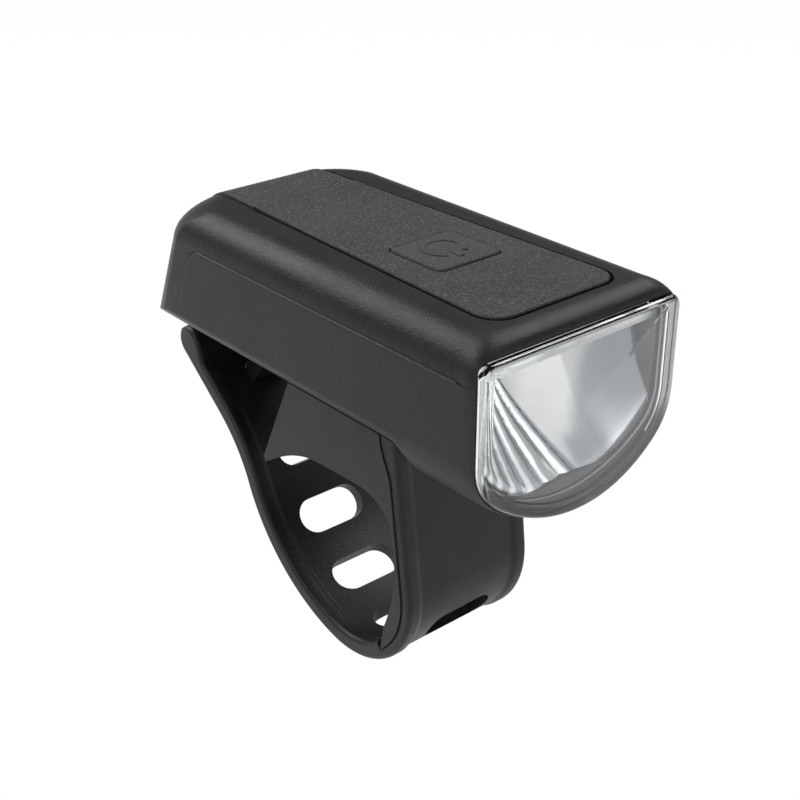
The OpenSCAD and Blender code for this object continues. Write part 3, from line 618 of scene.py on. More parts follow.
class Paint(Nodes):
    """Builds one material from nodes."""

    def __init__(self, name: str) -> None:
        """Starts a material with one Principled shader.

        Args:
            name: Name of the material.
        """
        self.material = bpy.data.materials.new(name)
        self.material.use_nodes = True
        super().__init__(self.material.node_tree)
        self.shader = next(n for n in self.tree.nodes if n.type == "BSDF_PRINCIPLED")
        self.place = self.add("ShaderNodeTexCoord", {}, {}, "Object")

    def shade(self, **sockets: object) -> None:
        """Sets inputs of the shader, with _ for a space in their names."""
        for key, value in sockets.items():
            self.put(self.shader.inputs[key.replace("_", " ")], value)

    def noise(self, size_mm: float, detail: float = 2.0, rough: float = 0.5,
              stretch: Spot = (1, 1, 1)) -> Signal:
        """Noise whose features have about a given size, 0 to 1.

        Args:
            size_mm: Size of the features.
            detail: Number of finer layers.
            rough: Weight of the finer layers.
            stretch: Scale along the three axes.

        Returns:
            The noise.
        """
        place = self.place
        if stretch != (1, 1, 1):
            place = self.add("ShaderNodeMapping", {}, {"Vector": place, "Scale": stretch})
        sockets = {"Vector": place, "Scale": 1000.0 / size_mm, "Detail": detail, "Roughness": rough}
        return self.add("ShaderNodeTexNoise", {}, sockets, "Fac")

    def cells(self, size_mm: float) -> Signal:
        """Distance to the middle of cells of about a given size."""
        sockets = {"Vector": self.place, "Scale": 1000.0 / size_mm}
        return self.add("ShaderNodeTexVoronoi", {}, sockets, "Distance")

    def blend(self, factor: object, first: object, second: object) -> Signal:
        """Colour between two, by a factor."""
        return self.add("ShaderNodeMix", {"data_type": "RGBA"}, {0: factor, 6: first, 7: second}, 2)

    def axis(self, name: str) -> Signal:
        """One of the coordinates of the place, in millimetres."""
        return self.add("ShaderNodeSeparateXYZ", {}, {0: self.place}, name) * 1000.0

    def bump(self, height: Signal, depth_mm: float, strength: float = 1.0,
             below: Signal | None = None) -> Signal:
        """Normal from a height of 0 to 1.

        Args:
            height: The height.
            depth_mm: Depth at a height of 1.
            strength: Share of the effect.
            below: Normal under it.

        Returns:
            The normal.
        """
        sockets = {"Height": height, "Distance": depth_mm / 1000.0, "Strength": strength}
        if below is not None:
            sockets["Normal"] = below
        return self.add("ShaderNodeBump", {}, sockets)


@dataclass(frozen=True)
class Moulded:
    """Moulded plastic or rubber with a fine grain, blotches, dust and scuffs, and painted shade below a
    height where one is given.
    """

    name: str
    tone: Tone
    tint: Tone
    rough: Flat
    grain_mm: float = 0.22
    grain_depth_mm: float = 0.02
    dust: float = 0.0
    dust_mm: float = 1.1
    dust_tone: Tone = (0.22, 0.22, 0.21)
    scuffs: float = 0.0
    specular: float = 0.5
    speckle: float = 0.0
    # Painted shade: below this height in the object's frame the colour turns to the near black tone
    shade_below_mm: float = 0.0
    painted_shade_tone: Tone = (0.002, 0.002, 0.002)

    def paint(self) -> bpy.types.Material:
        """Builds the material.

        Returns:
            The material.
        """
        p = Paint(self.name)
        blotch = p.noise(9.0, 3.0, 0.55)
        grain = p.noise(self.grain_mm, 2.0, 0.6)
        fleck = p.noise(self.grain_mm * 1.7, 1.0, 0.5)
        colour = p.blend(blotch.rise(0.3, 0.7) * 0.7 + fleck.rise(0.42, 0.66) * 0.3, self.tone, self.tint)
        if self.speckle > 0:
            light = p.noise(self.grain_mm * 0.8, 2.0, 0.6)
            colour = p.blend(light.rise(0.5, 0.72) * self.speckle, colour, self.dust_tone)
        rough = blotch.rise(0.25, 0.75) * (self.rough[1] - self.rough[0]) + self.rough[0]
        if self.dust > 0:
            spots = p.cells(self.dust_mm)
            few = p.noise(3.1, 2.0, 0.6)
            speck = (spots < 0.11) * few.rise(0.5, 0.62) * self.dust
            colour = p.blend(speck, colour, self.dust_tone)
        # Painted shade: near black below a height, standing in for the shade in the gap round the inlay
        if self.shade_below_mm > 0:
            painted_shade = p.axis("Z").rise(self.shade_below_mm, self.shade_below_mm - 0.2)
            colour = p.blend(painted_shade, colour, self.painted_shade_tone)
        if self.scuffs > 0:
            scratch = p.noise(1.5, 4.0, 0.7, (6.0, 0.7, 2.0))
            worn = scratch.rise(0.62, 0.72) * self.scuffs
            colour = p.blend(worn * 0.25, colour, self.dust_tone)
            rough = rough + worn * 0.12
        wave = p.bump(blotch, 0.05, 0.25)
        p.shade(Base_Color=colour, Roughness=rough, Normal=p.bump(grain, self.grain_depth_mm, 1.0, wave),
                Specular_IOR_Level=self.specular)
        return p.material


@dataclass(frozen=True)
class ClearLens:
    """Clear moulded plastic, with painted shade along the lower rim that stands in for the dark shell seen
    through it.
    """

    name: str = "clear_lens"
    painted_shade_tint: Tone = (0.2, 0.205, 0.21)
    centre_z: float = -1.9
    band_r: Flat = (22.9, 23.5)
    band_z: Flat = (-15.0, -20.0)

    def paint(self) -> bpy.types.Material:
        """Builds the material.

        Returns:
            The material.
        """
        p = Paint(self.name)
        haze = p.noise(7.0, 3.0, 0.6)
        fine = p.noise(2.2, 2.0, 0.5)
        x = p.axis("X")
        z = p.axis("Z") - LIGHT_SHIFT[2]
        # Painted shade: a band along the lower rim is tinted dark like the dark shell behind it
        away = x * x + (z - self.centre_z) * (z - self.centre_z)
        rim = away.rise(self.band_r[0] ** 2, self.band_r[1] ** 2) * z.rise(*self.band_z)
        clear = p.blend(haze, (0.97, 0.985, 0.99), (0.99, 0.995, 1.0))
        p.shade(Base_Color=p.blend(rim, clear, self.painted_shade_tint),
                Roughness=fine.rise(0.55, 0.8) * 0.03 + 0.01, Normal=p.bump(haze, 0.02, 0.25),
                IOR=1.5, Transmission_Weight=1.0)
        return p.material


def fan_share(x: float | Signal, z: float | Signal) -> float | Signal:
    """Place across the fan of flutes, from 0 at its left edge to 1 at its right one."""
    return (x - FAN_LEFT) / (FAN_WIDE - (z - FAN_HEIGHT) * FAN_LEAN)


@dataclass(frozen=True)
class Metallised:
    """Vacuum metallised reflector with painted reflections: its flutes, facets and brow get lighter and
    darker base colours that stand in for what they mirror.
    """

    name: str = "reflector_metal"
    # Painted reflections: each pair is a lit or shaded copy of the one metal, and the last single tone is a
    # painted highlight
    bright: tuple[Tone, Tone] = ((0.5, 0.51, 0.5), (0.58, 0.58, 0.57))
    grey: tuple[Tone, Tone] = ((0.24, 0.26, 0.28), (0.33, 0.35, 0.37))
    dark: tuple[Tone, Tone] = ((0.16, 0.18, 0.2), (0.26, 0.28, 0.3))
    painted_flute_tones: tuple[Tone, Tone] = ((0.4, 0.42, 0.43), (0.82, 0.83, 0.83))
    brow: tuple[Tone, Tone] = ((0.4, 0.41, 0.42), (0.84, 0.85, 0.85))
    painted_glint: Tone = (0.62, 0.64, 0.66)
    brow_z: Flat = (-3.5, -3.2)

    def paint(self) -> bpy.types.Material:
        """Builds the material.

        Returns:
            The material.
        """
        p = Paint(self.name)
        x = p.axis("X")
        z = p.axis("Z") - LIGHT_SHIFT[2]
        haze = p.noise(5.0, 3.0, 0.6)
        fine = p.noise(0.5, 2.0, 0.5)
        grey = p.blend(haze, *self.grey)
        # Painted highlight low on the right of the grey facet
        grey = p.blend(z.rise(-15.0, -22.0) * x.rise(8.0, 11.0), grey, self.painted_glint)
        fan = fan_share(x, z)
        bend = p.noise(4.0, 1.0, 0.5)
        # Painted reflections: light and dark bands across the fan, a lit left facet, grey lower facets, a
        # dark band beside the fan and light streaks on the brow
        painted_stripes = ((fan * FLUTES + bend * 0.5) * math.tau).sine()
        tone = p.blend((x - (z + 11.0) * 0.53).rise(8.6, 11.4), p.blend(haze, *self.bright), grey)
        tone = p.blend(z.rise(-19.0, -21.0) * x.rise(2.6, 4.2) * x.rise(7.8, 7.4), tone, grey)
        tone = p.blend(fan.rise(1.02, 0.96), tone, p.blend(painted_stripes.rise(-0.6, 0.4), *self.painted_flute_tones))
        tone = p.blend(fan.rise(0.88, 0.95) * fan.rise(1.14, 1.06), tone, p.blend(haze, *self.dark))
        streak = p.noise(1.6, 3.0, 0.6, (0.12, 1.0, 1.0))
        tone = p.blend(z.rise(*self.brow_z), tone, p.blend(streak.rise(0.38, 0.62), *self.brow))
        rough = haze.rise(0.3, 0.7) * 0.08 + fan.rise(0.9, 1.05) * 0.14 + 0.14
        p.shade(Base_Color=tone, Metallic=1.0, Roughness=rough, Normal=p.bump(fine, 0.004, 0.4))
        return p.material


@dataclass(frozen=True)
class MetalStock:
    """Plain or plated metal with drawn lines and stains."""

    name: str
    tone: Tone
    tint: Tone
    rough: Flat = (0.25, 0.42)
    lines: Spot = (1.0, 12.0, 1.0)

    def paint(self) -> bpy.types.Material:
        """Builds the material.

        Returns:
            The material.
        """
        p = Paint(self.name)
        stain = p.noise(4.0, 4.0, 0.6)
        drawn = p.noise(0.9, 3.0, 0.6, self.lines)
        rough = drawn * (self.rough[1] - self.rough[0]) + self.rough[0]
        p.shade(Base_Color=p.blend(stain.rise(0.3, 0.7), self.tone, self.tint), Metallic=1.0,
                Roughness=rough, Normal=p.bump(drawn, 0.01, 0.5))
        return p.material


@dataclass(frozen=True)
class CircuitBoard:
    """Solder mask over copper tracks."""

    name: str
    mask: Tone
    track: Tone

    def paint(self) -> bpy.types.Material:
        """Builds the material.

        Returns:
            The material.
        """
        p = Paint(self.name)
        x = p.axis("X")
        y = p.axis("Y")
        bend = p.noise(6.0, 0.0, 0.0)
        wave = ((x + bend * 4.0) * 3.8).sine()
        cross = ((y + bend * 5.0) * 2.9).sine()
        tracks = wave.rise(0.5, 0.62) * (1.0 - cross.rise(0.7, 0.8))
        weave = p.noise(0.4, 1.0, 0.5)
        p.shade(Base_Color=p.blend(tracks * 0.6 + weave * 0.15, self.mask, self.track),
                Roughness=tracks * -0.08 + 0.36, Normal=p.bump(tracks, 0.035, 0.7), Coat_Weight=0.3)
        return p.material


@dataclass(frozen=True)
class Studio:
    """White sweep, soft lamps and the camera."""

    spot: Spot = (-0.126526, -0.147641, 0.121449)
    azimuth: float = -40.433
    elevation: float = 27.206
    lens: float = 63.0
    aim: Spot = (0.0, 0.0, 0.025)
    floor_z: float = -0.075
    floor_white: float = 0.93
    soft: float = 0.2
    wall_top: Flat = (-0.05, 0.08)

    def camera(self) -> None:
        """Adds the camera."""
        data = bpy.data.cameras.new("camera")
        data.lens = self.lens
        data.sensor_width = 36.0
        data.clip_start = 0.01
        data.clip_end = 20.0
        obj = bpy.data.objects.new("camera", data)
        a = math.radians(self.azimuth)
        e = math.radians(self.elevation)
        back = Vector((math.sin(a) * math.cos(e), -math.cos(a) * math.cos(e), math.sin(e)))
        obj.location = self.spot
        obj.rotation_mode = "QUATERNION"
        obj.rotation_quaternion = (-back).to_track_quat("-Z", "Y")
        bpy.context.scene.collection.objects.link(obj)
        bpy.context.scene.camera = obj

    def lamp(self, name: str, spot: Spot, size: float, power: float) -> None:
        """Adds a square soft lamp that looks at the light.

        Args:
            name: Name of the lamp.
            spot: Its place in metres.
            size: Length of its sides in metres.
            power: Its power in watts.
        """
        data = bpy.data.lights.new(name, "AREA")
        data.size = size
        data.energy = power
        obj = bpy.data.objects.new(name, data)
        obj.location = spot
        obj.rotation_mode = "QUATERNION"
        obj.rotation_quaternion = (Vector(self.aim) - Vector(spot)).to_track_quat("-Z", "Y")
        bpy.context.scene.collection.objects.link(obj)

    @staticmethod
    def seen(nodes: Nodes, mirrored: float | Signal = 1.0) -> Signal:
        """Share of the background's white that a ray sees.

        Args:
            nodes: Nodes of the floor or the world.
            mirrored: Share for rays from gloss.

        Returns:
            1 for rays from the camera or through clear pieces, the mirrored share for gloss, and 0 for light.
        """
        camera, gloss, through = (nodes.add("ShaderNodeLightPath", {}, {}, f"Is {kind} Ray")
                                  for kind in ("Camera", "Glossy", "Transmission"))
        return camera.most((gloss * mirrored).most(through))

    def world(self) -> None:
        """Sets a white world that lights softly, with a dimmer ceiling for mirrored rays."""
        world = bpy.data.worlds.new("sweep")
        bpy.context.scene.world = world
        world.use_nodes = True
        nodes = Nodes(world.node_tree)
        nodes.tree.nodes.remove(nodes.tree.nodes["Background"])
        ray = nodes.add("ShaderNodeTexCoord", {}, {}, "Generated")
        height = nodes.add("ShaderNodeSeparateXYZ", {}, {0: ray}, "Z")
        wall = nodes.add("ShaderNodeMapRange", {},
                         {"Value": height, "From Min": self.wall_top[1], "From Max": self.wall_top[0]})
        soft, white = (nodes.add("ShaderNodeBackground", {}, {"Color": (1.0, 1.0, 1.0), "Strength": strength})
                       for strength in (self.soft, 1.0))
        mix = nodes.add("ShaderNodeMixShader", {}, {0: self.seen(nodes, wall), 1: soft, 2: white})
        nodes.put(nodes.tree.nodes["World Output"].inputs["Surface"], mix)

    def floor(self) -> None:
        """Adds the white floor."""
        bpy.ops.object.select_all(action="DESELECT")
        bpy.ops.mesh.primitive_plane_add(size=30.0, location=(0.0, 0.0, self.floor_z))
        obj = bpy.context.active_object
        obj.name = "floor"
        paint = Paint("floor_white")
        paint.shade(Base_Color=(0.9, 0.9, 0.9), Roughness=0.9)
        plain = Signal(paint, paint.shader.outputs[0])
        white = paint.add("ShaderNodeEmission", {}, {})
        share = self.seen(paint) * self.floor_white
        mix = paint.add("ShaderNodeMixShader", {}, {0: share, 1: plain, 2: white})
        paint.put(paint.tree.nodes["Material Output"].inputs["Surface"], mix)
        obj.data.materials.append(paint.material)

    def build(self) -> None:
        """Adds camera, world, floor and lamps."""
        bpy.context.scene.view_settings.view_transform = "Standard"
        self.camera()
        self.world()
        self.floor()
        self.lamp("back_box", (-0.27, 0.6, 0.62), 0.62, 7.0)
        self.lamp("left_box", (-0.8, -0.1, 0.4), 0.5, 1.8)
        self.lamp("front_box", (0.2, -0.85, 0.35), 0.8, 1.5)
        self.lamp("right_box", (0.6, 0.0, 0.85), 0.8, 8.0)


@dataclass
class Casing:
    """Upper and lower shell of the light."""

    half_low: float = 19.5
    half_up: float = 19.2
    deck_h: float = 2.36
    deck_r: float = 5.5
    deck_l: float = 73.6
    rear_r: float = 9.0
    plan_r: float = 10.0
    rear_lean: float = 23.0
    rear_drop: float = 16.2
    corner_r: float = 1.8
    belly_r: float = 25.0
    belly_depth: float = 25.5
    belly_l: float = 66.5
    edge_r: float = 1.6
    nose_drop: float = 1.4
    nose_l: float = 13.6
    nose_slope: float = 4.4
    lens_low_r: float = 9.0
    lens_lip: float = 0.6
    lens_gap: float = 0.12
    shelf_y: float = 2.6
    front_roll: float = 3.4
    front_drop: float = 2.0
    front_side: float = 0.3
    part_drop: float = 3.3
    part_l: float = 64.8
    part_end: float = 70.6
    part_r: float = 3.5
    part_gap: float = 0.12
    ledge_r: float = 0.4
    ledge_y: float = 4.0
    ledge_low: float = -15.0
    wall: float = 1.8
    roof_t: float = 2.6
    rear_soft: float = 1.3
    upper_soft: float = 0.22
    lower_soft: float = 0.15
    cave_half: float = 17.1
    cave_top: float = -0.6
    cave_r: float = 23.2
    stem_hole_r: float = 2.25
    port_size: Spot = (9.34, 3.5, 1.6)
    port_z: float = -5.4
    well_x: float = 14.5
    well_y: Flat = (24.0, 58.0)
    well_r: float = 2.4
    far: float = 90.0

    @property
    def belly_c(self) -> float:
        """Height of the belly's centre."""
        return self.belly_r - self.belly_depth

    @property
    def nose_c(self) -> float:
        """Height of the nose's centre."""
        return self.belly_c - self.nose_drop

    @property
    def rear_centre(self) -> Flat:
        """Centre of the rear deck rounding, in y and z."""
        lean = math.radians(self.rear_lean)
        return self.deck_l - self.rear_r * (1 - math.sin(lean)) / math.cos(lean), self.deck_h - self.rear_r

    def skin(self, start: float, low: float, out: float) -> list[Flat]:
        """Line of deck and rear face in y and z, raised by out.

        Args:
            start: Place where the line starts on the deck.
            low: Depth where it ends on the rear face.
            out: Stand above the casing.

        Returns:
            The points of the line.
        """
        lean = math.radians(self.rear_lean)
        round_edge = arc(self.rear_centre, self.rear_r + out, 90, self.rear_lean, 14)
        last = round_edge[-1]
        drop = last[1] + low
        return [(start, self.deck_h + out), *round_edge, (last[0] + drop * math.tan(lean), -low)]

    def side_view(self, inset: float) -> list[Flat]:
        """Outline of the casing from the side, moved inwards.

        Args:
            inset: Move inwards.

        Returns:
            The outline in y and z.
        """
        lean = math.radians(self.rear_lean)
        reach_back = self.deck_l + (self.deck_h + self.rear_drop) * math.tan(lean)
        tip = (reach_back - inset / math.cos(lean), -self.rear_drop)
        under = (self.belly_l - inset, -self.belly_depth - 1)
        round_edge = arc(self.rear_centre, self.rear_r - inset, 90, self.rear_lean, 14)
        tip_r = max(self.corner_r - inset / 2, 0.4)
        return [(-5, -40), (-5, self.deck_h - inset), *round_edge,
                *rounded_corner(round_edge[-1], tip, under, tip_r, 6), under, (self.belly_l - inset, -40)]

    def rear_place(self, z: float) -> float:
        """Place of the rear face at a height.

        Args:
            z: The height.

        Returns:
            The place along y.
        """
        y, low = self.rear_centre
        lean = math.radians(self.rear_lean)
        edge = low + self.rear_r * math.sin(lean)
        if z > edge:
            return y + math.sqrt(max(self.rear_r ** 2 - (z - low) ** 2, 0.0))
        return y + self.rear_r * math.cos(lean) + (edge - z) * math.tan(lean)

    def rear_form(self, inset: float) -> Bench:
        """Form that rounds the rear corners in plan, moved inwards.

        Args:
            inset: Move inwards.

        Returns:
            The form.
        """
        low = self.deck_h - self.deck_r
        heights = [self.deck_h + 0.02]
        heights += [low + self.deck_r * math.sin(math.radians(90 * i / 14)) for i in range(13, -1, -1)]
        rings = []
        for z in (*heights, -self.rear_drop, -45.0):
            high = min(max(z - low, 0.0), self.deck_r)
            slim = self.deck_r - math.sqrt(self.deck_r ** 2 - high ** 2)
            right = []
            for i in range(13):
                turn = math.radians(90 * i / 12)
                radius = self.plan_r + 0.05 - inset - slim * math.cos(turn)
                right.append((self.half_low - self.plan_r + radius * math.cos(turn),
                              self.rear_place(z) - self.plan_r + radius * math.sin(turn), z))
            left = [(-x, y, z) for x, y, z in reversed(right)]
            wide = self.half_low + 3.0
            rings.append([(-wide, -12.0, z), (wide, -12.0, z), *right, *left])
        return Bench("rear_form").loft(rings)

    def lower_view(self, inset: float) -> list[Flat]:
        """Outline from the side of what belongs to the lower shell.

        Args:
            inset: Gap to the upper shell.

        Returns:
            The outline in y and z.
        """
        a = (-8.0, -self.part_drop - inset * 0.1)
        b = (self.part_l - inset, -self.part_drop - inset * 0.1)
        c = (self.part_end - inset, -self.rear_drop - 1)
        low = (self.part_end - inset, -60.0)
        return [(-8.0, -60.0), a, *rounded_corner(a, b, c, self.part_r, 10), c, low]

    def on_parting(self, spot: Vector, near: float = 0.03) -> bool:
        """Whether a point lies on the line between the shells.

        Args:
            spot: The point.
            near: Distance that still counts.

        Returns:
            Whether it is.
        """
        line = [Vector(q) for q in self.lower_view(0.0)]
        for a, b in zip(line[1:], line[2:]):
            rest = Vector((spot.y, spot.z)) - a
            share = min(max(rest.dot(b - a) / (b - a).length_squared, 0.0), 1.0)
            if (rest - (b - a) * share).length < near:
                return True
        return False

    @staticmethod
    def across(name: str, outline: Sequence[Flat], half: float = 30.0) -> Bench:
        """Form of an outline in y and z, drawn along x."""
        return Bench(name).loft([[(x, y, z) for y, z in outline] for x in (-half, half)])

    @staticmethod
    def along(name: str, outline: Sequence[Flat], start: float, end: float) -> Bench:
        """Form of an outline in x and z, drawn along y."""
        return Bench(name).loft([[(x, y, z) for x, z in outline] for y in (start, end)])

    def lens_outline(self, grow: float) -> list[Flat]:
        """Outline of the lens in x and z."""
        return light_section(self.half_low - self.lens_lip + grow, grow, 2.0 + max(grow, -1.2), self.nose_c,
                             self.belly_r + grow, self.lens_low_r + max(grow, -2.5))

    def cave_outline(self) -> list[Flat]:
        """Outline of the hollow behind the lens."""
        return light_section(self.cave_half, self.cave_top, 1.4, self.nose_c, self.cave_r,
                             self.lens_low_r - 1.8)

    def form(self, name: str, wide_front: bool) -> Bench:
        """Outer form of the casing.

        Args:
            name: Name of the form.
            wide_front: Whether the form is as wide as the lower shell all along.

        Returns:
            The form with rounded rear edges.
        """
        step = self.nose_l - 0.4
        stations = [0.0, 0.04, 0.12, 0.25, 0.45, 0.7, 1.0, 1.4, 1.9, 2.4, 2.9, 3.4, 4.5, 7.0, step]
        stations += [step + self.nose_slope * i / 12 for i in range(1, 13)]
        stations += [24.0, 40.0, 58.0, 92.0]
        bend_z = -1.6
        rings = []
        for y in stations:
            back = ease(step, step + self.nose_slope, y)
            half = self.half_low if wide_front else lerp(self.half_low, self.half_up, ease(1.2, 4.5, y))
            roll = 1.0 - math.sqrt(1.0 - max(1.0 - y / self.front_roll, 0.0) ** 2)
            slim = self.front_side * roll
            outline = light_section(half - slim, self.deck_h, self.deck_r,
                                    lerp(self.nose_c, self.belly_c, back),
                                    lerp(self.belly_r + self.lens_lip, self.belly_r, back) - slim,
                                    lerp(self.lens_low_r + self.lens_lip, self.edge_r, back))
            drop = self.front_drop * roll
            rings.append([(x, y, z - drop * min(max((z - bend_z) / (self.deck_h - bend_z), 0.0), 1.0))
                          for x, z in outline])
        bench = Bench(name).loft(rings)
        bench.combine(self.across("side_form", self.side_view(0.0)), Cut.SHARED)
        bench.combine(self.rear_form(0.0), Cut.SHARED).clean(0.05)

        def rear_edge(edge: bmesh.types.BMEdge) -> bool:
            """Whether an edge lies under the rear overhang."""
            behind = all(v.co.y >= 60.0 and v.co.z <= -12.0 for v in edge.verts)
            return behind and is_sharp(edge, 24.0)

        return bench.round_edges(rear_edge, self.rear_soft, 4)

    def hollow(self, bench: Bench) -> None:
        """Cuts the pocket of the lens and the hollows out of a shell.

        Args:
            bench: The shell.
        """
        bench.combine(self.along("pocket", self.lens_outline(self.lens_gap), -6.0, self.shelf_y), Cut.AWAY)
        nose = self.along("nose_cave", self.cave_outline(), self.shelf_y - 0.02, self.nose_l + 0.1)
        bench.combine(nose, Cut.AWAY)
        inner = light_section(self.half_up - self.wall, self.deck_h - self.roof_t, self.deck_r - self.wall,
                              self.belly_c, self.belly_r - self.wall, 1.0)
        cave = self.along("rear_cave", inner, self.nose_l, self.far)
        cave.combine(self.across("cave_side", self.side_view(self.roof_t)), Cut.SHARED)
        cave.combine(self.rear_form(self.roof_t), Cut.SHARED)
        bench.combine(cave, Cut.AWAY)

    def port_form(self, name: str, size: Spot) -> Bench:
        """Form with a round-ended section, drawn along y through the rear wall at the port."""
        outline = [(x, z + self.port_z) for x, z in rounded_rectangle(*size)]
        return self.along(name, outline, 60.0, self.far)

    def upper(self, paint: bpy.types.Material, deck: "Deck") -> bpy.types.Object:
        """Builds the upper shell.

        Args:
            paint: Material of the piece.
            deck: The inlay of the deck.

        Returns:
            The finished object.
        """
        bench = self.form("upper_shell_skin", False)
        bench.combine(self.across("below_parting", self.lower_view(0.0)), Cut.AWAY)
        self.hollow(bench)
        bench.combine(deck.recess(self), Cut.AWAY)
        low, high = ((0, deck.button_y, z) for z in (-3, 4))
        bench.combine(Bench("stem_hole").drum(low, high, self.stem_hole_r, 48), Cut.AWAY)
        bench.combine(self.port_form("port_hole", self.port_size), Cut.AWAY)

        def sharp(edge: bmesh.types.BMEdge) -> bool:
            """Whether an edge is sharp and not part of the parting line."""
            return is_sharp(edge) and not all(self.on_parting(v.co) for v in edge.verts)

        bench.clean().round_edges(sharp, self.upper_soft, 3)
        return bench.finish(paint, "casing", LIGHT_SHIFT)

    def lower(self, paint: bpy.types.Material) -> bpy.types.Object:
        """Builds the lower shell.

        Args:
            paint: Material of the piece.

        Returns:
            The finished object.
        """
        bench = self.form("lower_shell_skin", True)
        bench.combine(self.across("parting", self.lower_view(self.part_gap)), Cut.SHARED)
        self.hollow(bench)
        for x in (-self.well_x, self.well_x):
            for y in self.well_y:
                bench.combine(Bench("screw_well").drum((x, y, -30), (x, y, -11), self.well_r, 32), Cut.AWAY)

        front = self.ledge_y - 0.1
        low = self.ledge_low - 0.1

        def ledge(edge: bmesh.types.BMEdge) -> bool:
            """Whether an edge is the outer edge beside the upper shell.

            Args:
                edge: The edge.

            Returns:
                Whether it is.
            """
            spots = [v.co for v in edge.verts]
            beside = all(abs(q.x) > 18.0 and q.y > front and q.z > low for q in spots)
            return beside and is_sharp(edge) and all(self.on_parting(q, 0.2) for q in spots)

        bench.clean().split(self.ledge_y, 1).split(self.ledge_low, 2)
        bench.round_edges(ledge, self.ledge_r, 5, False).round_edges(is_sharp, self.lower_soft, 2)
        return bench.finish(paint, "lower_casing", LIGHT_SHIFT)

    def build(self, upper: bpy.types.Material, lower: bpy.types.Material, deck: "Deck") -> None:
        """Builds both shells."""
        carry(self.upper(upper, deck), Body.LIGHT, "upper_shell")
        carry(self.lower(lower), Body.LIGHT, "lower_shell")


